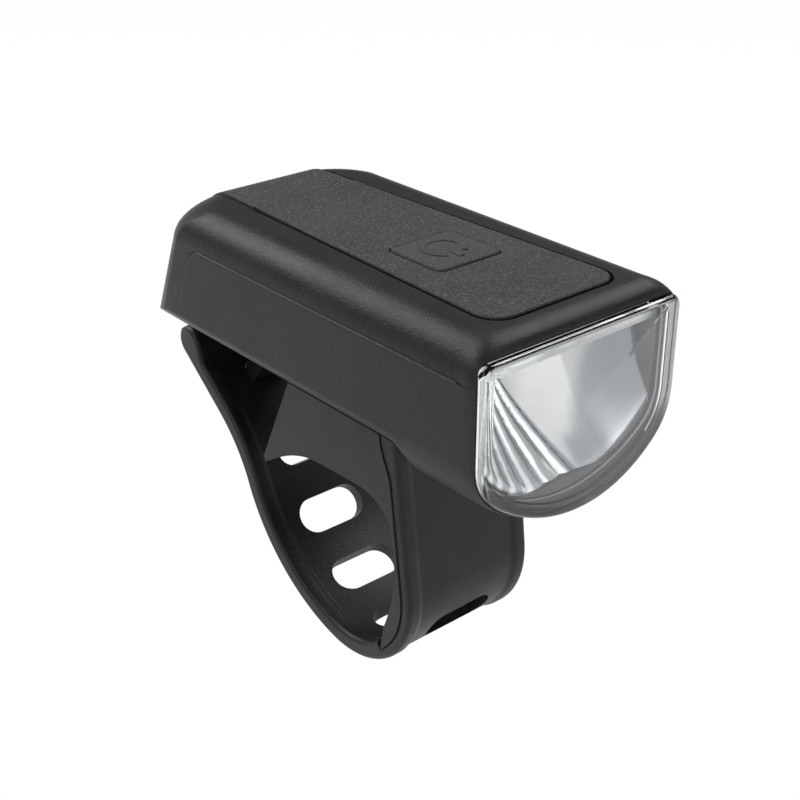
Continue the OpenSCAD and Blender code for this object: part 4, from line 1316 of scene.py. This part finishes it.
@dataclass
class Deck:
    """Rubber inlay of the deck, its button and the flap over the port."""

    pad_y: float = 4.6
    pad_half: float = 12.1
    taper: float = 0.039
    corner: float = 3.5
    gap: float = 0.6
    depth: float = 1.3
    stand: float = 0.25
    cover_y: float = 60.4
    cover_low: float = 11.0
    button_y: float = 27.2
    button_w: float = 12.0
    button_l: float = 11.2
    button_r: float = 1.0
    button_gap: float = 0.25
    button_low: float = 1.66
    button_top: float = 2.83
    pad_soft: float = 0.3
    flap_soft: float = 0.3
    key_soft: float = 0.45
    split_gap: float = 0.01
    land_size: Spot = (7.2, 1.8, 0.6)
    stem_r: float = 2.0
    ring_r: float = 3.1
    sign_w: float = 0.8
    sign_spot: Flat = (0.2, 0.5)

    def outline(self, grow: float, rear: float) -> list[Flat]:
        """Outline of the inlay in plan, grown on all sides, up to a rear end.

        Args:
            grow: Growth on all sides.
            rear: Place of the rear end.

        Returns:
            The closed outline.
        """
        wide = self.pad_half + grow
        narrow = wide - self.taper * (rear - self.pad_y)
        front = self.pad_y - grow
        radius = self.corner + grow
        return [*rounded_corner((-narrow, rear), (-wide, front), (wide, front), radius, 12),
                *rounded_corner((-wide, front), (wide, front), (narrow, rear), radius, 12),
                (narrow, rear), (-narrow, rear)]

    def plan(self, grow: float, name: str) -> Bench:
        """Upright form over the inlay's outline in plan, grown on all sides."""
        return Bench(name).loft([[(x, y, z) for x, y in self.outline(grow, 100.0)] for z in (-40.0, 20.0)])

    @staticmethod
    def band(casing: Casing, low: float, inner: float, outer: float, name: str) -> Bench:
        """Form between two offsets of deck and rear face."""
        outline = [*casing.skin(0.0, low, outer), *reversed(casing.skin(0.0, low, inner))]
        return casing.across(name, outline)

    def recess(self, casing: Casing) -> Bench:
        """Form of the recess for the inlay."""
        form = self.band(casing, self.cover_low + self.gap, -self.depth, 4.0, "recess_band")
        return form.combine(self.plan(self.gap, "recess_plan"), Cut.SHARED)

    def key_outline(self, grow: float) -> list[Flat]:
        """Outline of the button in plan, grown on all sides."""
        outline = rounded_rectangle(self.button_w + 2 * grow, self.button_l + 2 * grow, self.button_r + grow)
        return [(x, y + self.button_y) for x, y in outline]

    def pad(self, casing: Casing, paint: bpy.types.Material) -> bpy.types.Object:
        """Builds the inlay as a ring round the button's window.

        Args:
            casing: The casing.
            paint: Material of the piece.

        Returns:
            The finished object.
        """
        end = self.cover_y - self.split_gap
        middle = (0.0, self.button_y)
        low = casing.deck_h - self.depth + 0.02
        top = casing.deck_h + self.stand
        soft = self.pad_soft

        def window(grow: float) -> list[Flat]:
            """Outline of the button's window, grown."""
            return self.key_outline(self.button_gap + grow)

        marks = [*self.outline(0.0, end), *window(0.0)]
        rays = sorted({round(math.atan2(y - self.button_y, x), 4) for x, y in marks})

        def ring(outline: Sequence[Flat], height: float) -> list[Spot]:
            """Points of an outline in the directions of the rays.

            Args:
                outline: The outline.
                height: Level of the ring.

            Returns:
                One point for each ray.
            """
            points = []
            for a in rays:
                away = reach(outline, middle, a)
                y = self.button_y + away * math.sin(a)
                level = height if height == low else lerp(height, top, ease(end - 0.5, end - 0.05, y))
                points.append((away * math.cos(a), y, level))
            return points

        turns = [math.radians(90 * i / 4) for i in range(5)]
        rings = [ring(window(0.0), low)]
        for t in turns:
            rings.append(ring(window(soft * (1 - math.cos(t))), top - soft + soft * math.sin(t)))
        for t in reversed(turns):
            inset = soft * (1 - math.cos(t))
            rings.append(ring(self.outline(-inset, end), top - soft + soft * math.sin(t)))
        rings.append(ring(self.outline(0.0, end), low))
        bench = Bench("deck_rubber").loft([*rings, rings[0]], False).clean(0.0)
        return bench.finish(paint, "deck_rubber", LIGHT_SHIFT)

    def _rim(self, edge: bmesh.types.BMEdge) -> bool:
        """Whether an edge is a sharp upper edge away from the split.

        Args:
            edge: The edge.

        Returns:
            Whether it is.
        """
        a, b = (v.co for v in edge.verts)
        split = abs(a.y - self.cover_y) < 0.12 and abs(b.y - self.cover_y) < 0.12
        upper = min(a.z, b.z) > 2.0 or min(a.y, b.y) > self.cover_y
        return upper and not split and is_sharp(edge, 40.0)

    def cover(self, casing: Casing, paint: bpy.types.Material) -> bpy.types.Object:
        """Builds the flap over the port, with the land that seals it.

        Args:
            casing: The casing.
            paint: Material of the piece.

        Returns:
            The finished object.
        """
        bench = self.band(casing, self.cover_low, -self.depth + 0.1, self.stand, "port_flap")
        bench.combine(self.plan(0.0, "plan"), Cut.SHARED)
        front = self.cover_y + self.split_gap
        bench.combine(Bench("span").box((-40, front, -40), (40, casing.far, 40)), Cut.SHARED)
        bench.clean().round_edges(self._rim, self.flap_soft, 3)
        land = self.band(casing, self.cover_low, -self.depth - 0.5, -self.depth + 0.25, "land")
        land.combine(casing.port_form("land_block", self.land_size), Cut.SHARED)
        bench.combine(land, Cut.JOINED)
        return bench.finish(paint, "deck_rubber", LIGHT_SHIFT)

    def key(self, paint: bpy.types.Material) -> bpy.types.Object:
        """Builds the button with its stem and its power sign.

        Args:
            paint: Material of the piece.

        Returns:
            The finished object.
        """
        soft = self.key_soft
        rings = [[(x, y, self.button_low) for x, y in self.key_outline(0.0)]]
        for i in range(7):
            t = math.radians(90 * i / 6)
            height = self.button_top - soft + soft * math.sin(t)
            rings.append([(x, y, height) for x, y in self.key_outline(-soft * (1 - math.cos(t)))])
        bench = Bench("power_key").loft(rings)
        low, high = ((0, self.button_y, z) for z in (-0.5, self.button_low + 0.2))
        bench.combine(Bench("stem").drum(low, high, self.stem_r, 48), Cut.JOINED)
        bench.combine(self._sign(), Cut.JOINED)
        return bench.finish(paint, "button_rubber", LIGHT_SHIFT)

    def _stroke(self, name: str, line: Sequence[Flat]) -> Bench:
        """Low rounded ridge along a line on the button.

        Args:
            name: Name of the form.
            line: Points of the line.

        Returns:
            The form.
        """
        section = ((-0.5, -0.2), (-0.5, 0.1), (-0.34, 0.18), (0.34, 0.18), (0.5, 0.1), (0.5, -0.2))
        rings = []
        for i, (x, y) in enumerate(line):
            ahead = Vector(line[min(i + 1, len(line) - 1)]) - Vector(line[max(i - 1, 0)])
            side = Vector((-ahead.y, ahead.x)).normalized() * self.sign_w
            rings.append([(x + side.x * u, y + side.y * u, self.button_top + h) for u, h in section])
        return Bench(name).loft(rings)

    def _sign(self) -> Bench:
        """Ring with a gap and a bar, the plain sign for on and off.

        Returns:
            The form.
        """
        x = self.sign_spot[0]
        y = self.sign_spot[1] + self.button_y
        ring = self._stroke("sign_ring", arc((x, y), self.ring_r, -56, 236, 44))
        bar = self._stroke("sign_bar", [(x, y - d) for d in (1.5, 2.7, 4.0)])
        return ring.combine(bar, Cut.JOINED)

    def build(self, casing: Casing, rubber: bpy.types.Material, flap_rubber: bpy.types.Material,
              key: bpy.types.Material) -> None:
        """Builds the pieces of the deck.

        Args:
            casing: The casing.
            rubber: Material of the inlay.
            flap_rubber: Material of the flap.
            key: Material of the button.
        """
        carry(self.pad(casing, rubber), Body.LIGHT, "top_pad")
        carry(self.cover(casing, flap_rubber), Body.COVER, "port_cover")
        carry(self.key(key), Body.BUTTON, "power_button")


@dataclass
class Lamp:
    """Clear lens and the reflector behind it."""

    bulge: float = 1.0
    proud: float = 0.8
    half: float = 18.9
    thick: float = 2.0
    rim_depth: float = 2.1
    rim_face: float = 1.7
    edge_soft: float = 0.7
    side_slant: float = 0.35
    focus: float = 8.6
    bowl_y: float = 15.0
    bowl_z: float = -3.75
    bowl_top: float = -3.3
    bowl_low: float = -23.4
    bowl_half: float = 16.4
    bowl_t: float = 0.5
    bowl_r: float = 23.05
    bowl_side: float = 16.95
    bowl_lip: float = 1.95
    facet_x: float = 7.6
    facet_depth: float = 0.3
    flute_depth: float = 0.42
    fade: float = 5.0
    fold: float = 0.5
    grid: tuple[int, int] = (170, 56)
    grid_bowl: float = 0.9
    flange: float = 0.25
    brow_low: Spot = (-15.9, 2.68, -3.75)
    brow_high: Spot = (15.9, 3.12, -0.78)
    lens_mid: Flat = (0.0, -11.5)
    slant_z: Flat = (-1.8, -3.0)

    def dome(self, x: float, behind: float) -> float:
        """Place of the front of the lens, or of a face behind it.

        Args:
            x: Place across the lens.
            behind: Distance behind the front.

        Returns:
            The place along y.
        """
        radius = (self.half ** 2 + self.bulge ** 2) / (2 * self.bulge)
        inner = radius - behind
        return radius - self.bulge - self.proud - math.sqrt(max(inner * inner - x * x, 0.0))

    def window(self, casing: Casing, paint: bpy.types.Material) -> bpy.types.Object:
        """Builds the lens from rings, from the middle of its front over the rim to the middle of its back.

        Args:
            casing: The casing.
            paint: Material of the piece.

        Returns:
            The finished object.
        """
        middle = Vector(self.lens_mid)
        outer = [Vector(p) for p in casing.lens_outline(0.0)]
        inner = [Vector(p) for p in casing.lens_outline(-self.rim_face)]

        def shrunk(outline: Sequence[Vector], share: float) -> list[Vector]:
            """Outline drawn towards its middle."""
            return [middle + (p - middle) * share for p in outline]

        rings = []
        for share in (0.02, 0.2, 0.4, 0.6, 0.75, 0.86, 0.93):
            rings.append([(p.x, self.dome(p.x, 0.0), p.y) for p in shrunk(outer, share)])
        for i in range(6):
            t = math.radians(90 * i / 5)
            inset = self.edge_soft * (1 - math.sin(t))
            back = self.edge_soft * (1 - math.cos(t))
            outline = casing.lens_outline(-inset)
            rings.append([(x, self.dome(x, 0.0) + back, z) for x, z in outline])
        rings.append([(p.x, self.rim_depth, p.y) for p in outer])
        rings.append([(p.x, self.rim_depth, p.y) for p in inner])
        for share, slant in ((1.0, self.side_slant), (0.975, 0.0)):
            rings.append([(p.x, self.dome(p.x, self.thick) + slant * ease(*self.slant_z, p.y), p.y)
                          for p in shrunk(inner, share)])
        for share in (0.93, 0.8, 0.6, 0.4, 0.2, 0.02):
            rings.append([(p.x, self.dome(p.x, self.thick), p.y) for p in shrunk(inner, share)])
        bench = Bench("lens_window").loft(rings)
        return bench.finish(paint, "clear_lens", LIGHT_SHIFT, 40.0)

    def bowl_place(self, x: float, z: float) -> float:
        """Depth of the reflecting face at a place, with its fan of flutes and its two wide facets.

        Args:
            x: Place across the bowl.
            z: Height.

        Returns:
            The place along y.
        """
        plain = self.bowl_y - (x * x + (z - self.bowl_z) ** 2) / (4 * self.focus)
        fade = ease(self.bowl_top, self.bowl_top - self.fade, z)
        fan = fan_share(x, z)
        if fan < 1.0:
            u = 2 * ((fan * FLUTES) % 1.0) - 1
            return plain - self.flute_depth * (1 - u * u) * fade
        fan_right = FAN_LEFT + FAN_WIDE - (z - FAN_HEIGHT) * FAN_LEAN
        low, high = (fan_right, self.facet_x) if x < self.facet_x else (self.facet_x, self.bowl_half)
        u = 2 * (x - low) / (high - low) - 1
        return plain - self.facet_depth * (1 - u * u) * fade

    def floor(self, casing: Casing, x: float) -> float:
        """Lower end of the bowl at a place.

        Args:
            casing: The casing.
            x: Place across the bowl.

        Returns:
            The height.
        """
        edge = casing.lens_low_r - self.bowl_lip
        side = self.bowl_side - edge
        inner = self.bowl_r - edge
        if abs(x) < side * self.bowl_r / inner:
            return max(self.bowl_low, casing.nose_c - math.sqrt(self.bowl_r ** 2 - x * x))
        height = casing.nose_c - math.sqrt(inner ** 2 - side ** 2)
        return max(self.bowl_low, height - math.sqrt(edge ** 2 - (abs(x) - side) ** 2))

    def bowl(self, casing: Casing, paint: bpy.types.Material) -> bpy.types.Object:
        """Builds the reflector from a grid that is drawn into a bowl with flanges beside the lens.

        Args:
            casing: The casing.
            paint: Material of the piece.

        Returns:
            The finished object.
        """
        bench = Bench("reflector_bowl")
        bench.clear()
        bpy.ops.mesh.primitive_grid_add(x_subdivisions=self.grid[0], y_subdivisions=self.grid[1], size=2)
        bench.take()
        front = casing.shelf_y + self.flange
        for vertex in bench.edit().verts:
            out = max(abs(vertex.co.x) - self.grid_bowl, 0.0) / (1 - self.grid_bowl)
            x = max(min(vertex.co.x / self.grid_bowl, 1.0), -1.0) * self.bowl_half
            z = lerp(self.bowl_top, self.floor(casing, x), (1 - vertex.co.y) / 2)
            deep = self.bowl_place(x, z)
            y = (deep + front + math.hypot(deep - front, self.fold)) / 2
            vertex.co = (x * (1 + 0.005 * out), lerp(y, front, out), z)
        bmesh.update_edit_mesh(bench.obj.data)
        bpy.ops.mesh.select_all(action="SELECT")
        bpy.ops.mesh.normals_make_consistent(inside=False)
        bpy.ops.object.mode_set(mode="OBJECT")
        facing = sum(p.normal.y * p.area for p in bench.obj.data.polygons)
        bench.apply("SOLIDIFY", thickness=self.bowl_t, offset=-1.0 if facing < 0 else 1.0)
        brow = Bench("reflector_brow").box(self.brow_low, self.brow_high)
        bench.activate()
        brow.obj.select_set(True)
        bpy.ops.object.join()
        return bench.finish(paint, "reflector_metal", LIGHT_SHIFT, 24.0)

    def build(self, casing: Casing, clear: bpy.types.Material, metal: bpy.types.Material) -> None:
        """Builds lens and reflector."""
        carry(self.window(casing, clear), Body.LIGHT, "front_lens")
        carry(self.bowl(casing, metal), Body.LIGHT, "reflector")


@dataclass
class Strap:
    """Rubber strap round the bar and the saddle under the light."""

    loop_r: float = 16.05
    loop_drop: float = 4.2
    front_lean: float = 7.0
    loop_end: float = 282.0
    rise_r: float = 32.0
    rise_max: float = 68.0
    turn_r: float = 26.0
    hook_angle: float = 39.5
    tail_l: float = 13.2
    tail_r: float = 2.8
    half: float = 12.6
    thick: float = 3.2
    front_t: float = 1.8
    rim_w: float = 2.4
    web_out: float = 0.45
    web_in: float = 0.6
    root_more: float = 1.5
    tongue_s: float = 15.6
    lap: float = 0.05
    slot_pitch: float = 13.0
    slot_w: float = 6.2
    slot_l: float = 13.0
    slot_r: float = 3.0
    hug: float = 2.6
    slot_up: float = 2.3
    seam_s: float = 32.5
    root_s: Flat = (-27.0, -17.0)
    root_ramp: Flat = (-18.5, -25.5)
    edge_soft: float = 0.3
    front_bend: Flat = (16.6, 23.0)
    rear_bend: Flat = (42.2, 48.8)
    saddle_half: float = 12.8
    saddle_soft: float = 0.25
    saddle_roof: tuple[Flat, ...] = (
        (-10.1, -10.4), (-11.6, -6.2), (-12.5, -2.2), (-12.85, 2.4), (-12.65, 6.4), (-11.6, 9.5),
        (-8.9, 11.9), (-5.4, 12.9), (-0.4, 12.78), (4.2, 12.6), (8.2, 12.2), (11.6, 11.2), (15.2, 9.5),
        (20.2, 6.4))
    saddle_back: tuple[Flat, ...] = ((20.6, 7.4), (19.2, 10.3), (12.6, 24.4), (12.3, 27.0))
    plate_room: tuple[Spot, Spot] = ((-11.3, -6.9, 18.35), (11.3, 60.0, 40.0))
    root_room: tuple[Spot, Spot] = ((-10.7, -40.0, 16.35), (10.7, -5.8, 40.0))
    belly_z: float = 45.95
    belly_r: float = 25.6

    def __post_init__(self) -> None:
        """Works out where the runs of the strap meet."""
        self.loop_c = Vector((0.0, -self.loop_drop))
        self.loop_from = 180.0 - self.front_lean
        self.rise_from = self.loop_end - 270.0
        self.start = self.loop_c + self.loop_r * self._ray(self.loop_from)
        end = self.loop_c + self.loop_r * self._ray(self.loop_end)
        self.rise_c = end + self.rise_r * self._ray(self.rise_from + 90.0)
        top = self.rise_c + self.rise_r * self._ray(self.rise_max - 90.0)
        self.turn_c = top - self.turn_r * self._ray(self.rise_max + 90.0)
        self.tail = self.turn_c - self.turn_r * self._ray(self.hook_angle - 90.0)
        self.loop_s = self.loop_r * math.radians(self.loop_end - self.loop_from)
        self.rise_s = self.loop_s + self.rise_r * math.radians(self.rise_max - self.rise_from)
        self.turn_s = self.rise_s + self.turn_r * math.radians(self.rise_max - self.hook_angle)
        self.tail_s = self.turn_s + self.tail_l

    @staticmethod
    def _ray(angle: float) -> Vector:
        """Unit vector at an angle in degrees."""
        return Vector((math.cos(math.radians(angle)), math.sin(math.radians(angle))))

    def heading(self, s: float) -> float:
        """Direction of the strap at an arc length.

        Args:
            s: The arc length.

        Returns:
            The direction in degrees.
        """
        if s < 0:
            return self.loop_from + 90.0
        if s < self.loop_s:
            return self.loop_from + 90.0 + math.degrees(s / self.loop_r)
        if s < self.rise_s:
            return 360.0 + self.rise_from + math.degrees((s - self.loop_s) / self.rise_r)
        if s < self.turn_s:
            return 360.0 + self.rise_max - math.degrees((s - self.rise_s) / self.turn_r)
        return 360.0 + self.hook_angle

    def place(self, s: float, depth: float) -> Vector:
        """Point at an arc length and a depth below the strap's outer face, in y and z.

        Args:
            s: The arc length.
            depth: The depth.

        Returns:
            The point.
        """
        h = self.heading(s)
        if s < 0:
            spot = self.start + s * self._ray(h)
        elif s < self.loop_s:
            spot = self.loop_c + self.loop_r * self._ray(h - 90.0)
        elif s < self.rise_s:
            spot = self.rise_c + self.rise_r * self._ray(h - 90.0)
        elif s < self.turn_s:
            spot = self.turn_c - self.turn_r * self._ray(h - 90.0)
        else:
            spot = self.tail + (s - self.turn_s) * self._ray(h)
        return spot + depth * self._ray(h + 90.0)

    def profile(self, half: float, low: float, high: float, web_low: float, web_high: float,
                snug: float = 0.0) -> list[Flat]:
        """Section of the strap, a web between two rims, in x and depth.

        Args:
            half: Half of the width.
            low: Depth of the outer face of the rims.
            high: Depth of the inner face of the rims.
            web_low: Sink of the web on the outside.
            web_high: Sink of the web on the inside.
            snug: Share by which the inner edge is sharper, where it lies on the saddle.

        Returns:
            A closed outline of a fixed number of points.
        """
        edge = min(0.85, (high - low) * 0.47)
        x = half - self.rim_w
        outer = [(0.0, web_low), (x * 0.5, web_low), (x - 1.0, web_low), (x - 0.55, web_low * 0.9),
                 (x - 0.1, web_low * 0.35), (x + 0.4, 0.0)]
        inner = [(x + 0.3, 0.0), (x - 0.2, web_high * 0.3), (x - 0.7, web_high * 0.85), (x - 1.2, web_high),
                 (x * 0.5, web_high), (0.0, web_high)]
        right = [(u, low + d) for u, d in outer]
        right += arc((half - edge, low + edge), edge, -90, 0, 5)
        inner_edge = lerp(edge, 0.25, snug)
        right += arc((half - inner_edge, high - inner_edge), inner_edge, 0, 90, 5)
        right += [(u, high - d) for u, d in inner]
        return right + [(-u, d) for u, d in reversed(right[1:-1])]

    def ring(self, s: float) -> list[Spot]:
        """Ring of the strap at an arc length.

        Args:
            s: The arc length.

        Returns:
            The points of the ring.
        """
        flat = 1.0 - ease(self.tail_s - 7.5, self.tail_s - 3.5, s)
        thick = lerp(self.front_t, self.thick, ease(self.tongue_s + 0.4, self.tongue_s + 0.9, s))
        inside = self.web_in * ease(self.tongue_s + 0.4, self.tongue_s + 2.0, s) * flat
        thick = lerp(thick, 2 * self.tail_r, ease(self.tail_s - 5.5, self.tail_s - 0.4, s))
        thick += self.root_more * ease(*self.root_ramp, s)
        snug = 1.0 - ease(self.tongue_s - 2.0, self.tongue_s + 0.9, s)
        outline = self.profile(self.half, 0.0, thick, self.web_out * flat, inside, snug)
        return [(x, *self.place(s, d)) for x, d in outline]

    def tip(self) -> list[list[Spot]]:
        """Rings of the round end of the strap.

        Returns:
            The rings.
        """
        rings = []
        for i in range(1, 9):
            t = math.radians(90 * i / 8.2)
            r = self.tail_r * math.cos(t)
            half = self.half - 0.35 * (1 - math.cos(t))
            s = self.tail_s + self.tail_r * math.sin(t)
            outline = self.profile(half, self.tail_r - r, self.tail_r + r, 0.0, 0.0)
            rings.append([(x, *self.place(s, d)) for x, d in outline])
        return rings

    def slot_form(self, s: float, filled: float = 0.0) -> Bench:
        """Form of a slot, filled from below by the rubber that hugs the hook.

        Args:
            s: Arc length of the slot.
            filled: Width that is filled.

        Returns:
            The form.
        """
        outline = rounded_rectangle(self.slot_l - filled, self.slot_w - filled, self.slot_r - filled / 2, 7)
        outline = [(x, u + filled / 2) for x, u in outline]
        along = self._ray(self.heading(s))
        rings = []
        for depth in (-6.0, 9.0):
            spot = self.place(s, 0.0) + depth * self._ray(self.heading(s) + 90.0)
            rings.append([(x, *(spot + u * along)) for x, u in outline])
        return Bench("slot").loft(rings)

    def belly(self) -> Bench:
        """Form of the light's belly with the gap above saddle and strap."""
        return Bench("belly").drum((0, -60, self.belly_z), (0, 60, self.belly_z), self.belly_r, 160)

    def stations(self, start: float, end: float) -> list[float]:
        """Arc lengths of the rings between two places."""
        count = max(2, round((end - start) / 0.8))
        return [lerp(start, end, i / count) for i in range(count + 1)]

    def front_run(self, paint: bpy.types.Material) -> bpy.types.Object:
        """Builds the strap from its root to the seam below the bar.

        Args:
            paint: Material of the piece.

        Returns:
            The finished object.
        """
        marks = [*self.stations(*self.root_s), *self.stations(-1.0, self.tongue_s + 0.3)]
        marks += [self.tongue_s + 0.4 + 0.1 * i for i in range(1, 6)]
        marks += self.stations(self.tongue_s + 1.3, self.seam_s)
        bench = Bench("strap_front_run").loft([self.ring(s) for s in marks])
        bench.combine(self.belly(), Cut.AWAY)
        for s in (self.slot_pitch - self.slot_up, self.slot_pitch * 2):
            bench.combine(self.slot_form(s), Cut.AWAY)
        bench.clean(0.05).soften(self.edge_soft, 3, 42.0)
        return bench.finish(paint, "strap_rubber", BAR_SHIFT, 40.0)

    def rear_run(self, paint: bpy.types.Material) -> bpy.types.Object:
        """Builds the strap from the seam to its thick end.

        Args:
            paint: Material of the piece.

        Returns:
            The finished object.
        """
        rings = [self.ring(s) for s in self.stations(self.seam_s, self.tail_s)]
        bench = Bench("strap_rear_run").loft([*rings, *self.tip()])
        for i in (3, 4, 5):
            bench.combine(self.slot_form(self.slot_pitch * i), Cut.AWAY)
        bench.combine(self.slot_form(self.slot_pitch * 6, self.hug), Cut.AWAY)
        bench.clean(0.05).soften(self.edge_soft, 3, 42.0)
        return bench.finish(paint, "strap_rubber", BAR_SHIFT, 40.0)

    def saddle(self, paint: bpy.types.Material) -> bpy.types.Object:
        """Builds the saddle between belly and bar, with the tongue ahead of the bar.

        Args:
            paint: Material of the piece.

        Returns:
            The finished object.
        """
        depth = self.front_t + self.lap
        marks = (*self.stations(*self.root_s), *self.stations(-6.0, self.tongue_s))
        front = [tuple(self.place(s, depth + self.root_more * ease(*self.root_ramp, s))) for s in marks]
        outline = [*front, *flowing(self.saddle_roof, 5), *self.saddle_back]
        bench = Casing.across("saddle_rubber", outline, self.saddle_half)
        bench.combine(self.belly(), Cut.AWAY)
        bench.combine(Bench("plate_room").box(*self.plate_room), Cut.AWAY)
        bench.combine(Bench("root_room").box(*self.root_room), Cut.AWAY)
        bench.clean(0.05).soften(self.saddle_soft, 3, 40.0)
        return bench.finish(paint, "strap_rubber", BAR_SHIFT, 36.0)

    def bend(self, span: Flat) -> list[Spot]:
        """Points in metres where a bend starts and ends, in the middle of the strap's thickness."""
        return [(0.0, *(self.place(s, self.thick / 2) / 1000)) for s in span]

    def build(self, rubber: bpy.types.Material, pad: bpy.types.Material) -> None:
        """Builds strap and saddle.

        Args:
            rubber: Material of the strap.
            pad: Material of the saddle.
        """
        carry(self.saddle(pad), Body.LIGHT, "saddle_pad")
        near = self.front_run(rubber)
        start, end = self.bend(self.front_bend)
        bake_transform(near)
        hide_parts("strap_front")
        far = self.rear_run(rubber)
        start, end = self.bend(self.rear_bend)
        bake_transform(far)
        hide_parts("strap_bottom", "strap_rear")


@dataclass
class Insides:
    """Finishes of the pieces that keep their solids."""

    def dress(self, node: str, paint: bpy.types.Material) -> None:
        """Gives a solid its material.

        Args:
            node: Name of the solid.
            paint: Its material.
        """
        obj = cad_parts[node]
        if not obj.material_slots:
            obj.data.materials.append(paint)
        for slot in obj.material_slots:
            slot.material = paint
        LOG.info("%s: dressed with %s", node, paint.name)

    def build(self) -> None:
        """Dresses the inner pieces, the mount plate and the screws."""
        steel = MetalStock("screw_steel", (0.58, 0.59, 0.61), (0.68, 0.68, 0.67))
        tin = MetalStock("tinned_steel", (0.70, 0.71, 0.73), (0.78, 0.78, 0.77), (0.2, 0.36))
        nickel = MetalStock("nickel", (0.72, 0.71, 0.67), (0.8, 0.79, 0.75), (0.22, 0.4),
                            (10.0, 1.0, 1.0))
        sink = MetalStock("milled_aluminium", (0.74, 0.75, 0.77), (0.82, 0.82, 0.83), (0.3, 0.5))
        finishes: dict[str, Moulded | MetalStock | CircuitBoard] = {
            "mount_plate": Moulded("mount_nylon", (0.008, 0.008, 0.009), (0.013, 0.013, 0.014),
                                   (0.5, 0.65), specular=0.15),
            "reflector_apron": Moulded("apron_grey", (0.12, 0.125, 0.13), (0.16, 0.165, 0.17),
                                       (0.45, 0.6)),
            "lens_seal": Moulded("seal_silicone", (0.78, 0.79, 0.79), (0.85, 0.86, 0.86), (0.5, 0.7)),
            "heat_sink": sink,
            "led_board": CircuitBoard("lamp_board", (0.80, 0.80, 0.78), (0.66, 0.64, 0.58)),
            "led_emitter": Moulded("lamp_phosphor", (0.9, 0.74, 0.2), (0.95, 0.84, 0.35), (0.15, 0.3)),
            "led_leads": Moulded("wire_sleeve", (0.5, 0.03, 0.025), (0.62, 0.06, 0.04), (0.3, 0.45)),
            "main_board": CircuitBoard("circuit_green", (0.012, 0.1, 0.035), (0.03, 0.2, 0.07)),
            "driver_chip": Moulded("chip_epoxy", (0.014, 0.014, 0.016), (0.026, 0.026, 0.028),
                                   (0.45, 0.6)),
            "choke_coil": Moulded("ferrite", (0.07, 0.07, 0.074), (0.12, 0.12, 0.125), (0.5, 0.7), 0.3,
                                  0.03),
            "capacitors": Moulded("ceramic", (0.42, 0.3, 0.17), (0.55, 0.42, 0.26), (0.3, 0.5)),
            "switch_body": Moulded("switch_plastic", (0.02, 0.02, 0.022), (0.035, 0.035, 0.037),
                                   (0.35, 0.5)),
            "switch_plunger": Moulded("plunger_nylon", (0.6, 0.56, 0.46), (0.7, 0.66, 0.56), (0.3, 0.45)),
            "battery_cell": Moulded("cell_sleeve", (0.035, 0.09, 0.26), (0.05, 0.12, 0.34), (0.16, 0.3)),
            "battery_cradle": Moulded("cradle_plastic", (0.04, 0.04, 0.043), (0.06, 0.06, 0.063),
                                      (0.45, 0.6)),
            "usb_socket": tin,
            "battery_tabs": nickel,
            "strap_pin": steel,
            "shell_screws": steel,
            "board_screws": steel,
            "reflector_screws": steel,
            "plate_screws": steel,
        }
        paints = {finish: finish.paint() for finish in dict.fromkeys(finishes.values())}
        for node, finish in finishes.items():
            self.dress(node, paints[finish])


def main() -> None:
    """Builds the studio and the light."""
    logging.basicConfig(level=logging.INFO, format="%(name)s %(message)s")
    Studio().build()
    casing = Casing()
    deck = Deck()
    shell = Moulded("casing_satin", (0.011, 0.011, 0.011), (0.015, 0.015, 0.015), (0.37, 0.45), 0.45, 0.06,
                    dust=0.05, scuffs=0.2, specular=0.2)
    low_shell = replace(shell, name="lower_casing_satin", tone=(0.017, 0.017, 0.017),
                        tint=(0.022, 0.022, 0.022), rough=(0.42, 0.52))
    # The inlay gets painted shade below the deck's level, on its side walls in the gap round it
    inlay = Moulded("deck_rubber", (0.022, 0.025, 0.024), (0.036, 0.04, 0.039), (0.62, 0.78), 0.34, 0.045,
                    dust=0.3, dust_mm=0.5, dust_tone=(0.16, 0.17, 0.17), specular=0.22, speckle=0.5,
                    shade_below_mm=48.8)
    key = Moulded("key_rubber", (0.028, 0.031, 0.03), (0.042, 0.046, 0.045), (0.6, 0.76), 0.34, 0.025,
                  dust=0.15, dust_mm=0.5, dust_tone=(0.16, 0.17, 0.17), specular=0.25, speckle=0.4)
    strap = Moulded("strap_rubber", (0.008, 0.008, 0.008), (0.012, 0.012, 0.012), (0.4, 0.54), 0.35, 0.05,
                    dust=0.4, dust_tone=(0.1, 0.1, 0.1), scuffs=0.25, specular=0.3)
    pad = Moulded("saddle_rubber", (0.024, 0.024, 0.024), (0.033, 0.033, 0.033), (0.5, 0.66), 0.35, 0.03,
                  dust=0.35, dust_tone=(0.1, 0.1, 0.1), scuffs=0.2, specular=0.24)
    casing.build(shell.paint(), low_shell.paint(), deck)
    deck.build(casing, inlay.paint(), replace(inlay, name="flap_rubber", shade_below_mm=0.0).paint(), key.paint())
    Lamp().build(casing, ClearLens().paint(), Metallised().paint())
    Strap().build(strap.paint(), pad.paint())
    Insides().build()
    LOG.info("boxes kept")


if __name__ == "__main__":
    main()
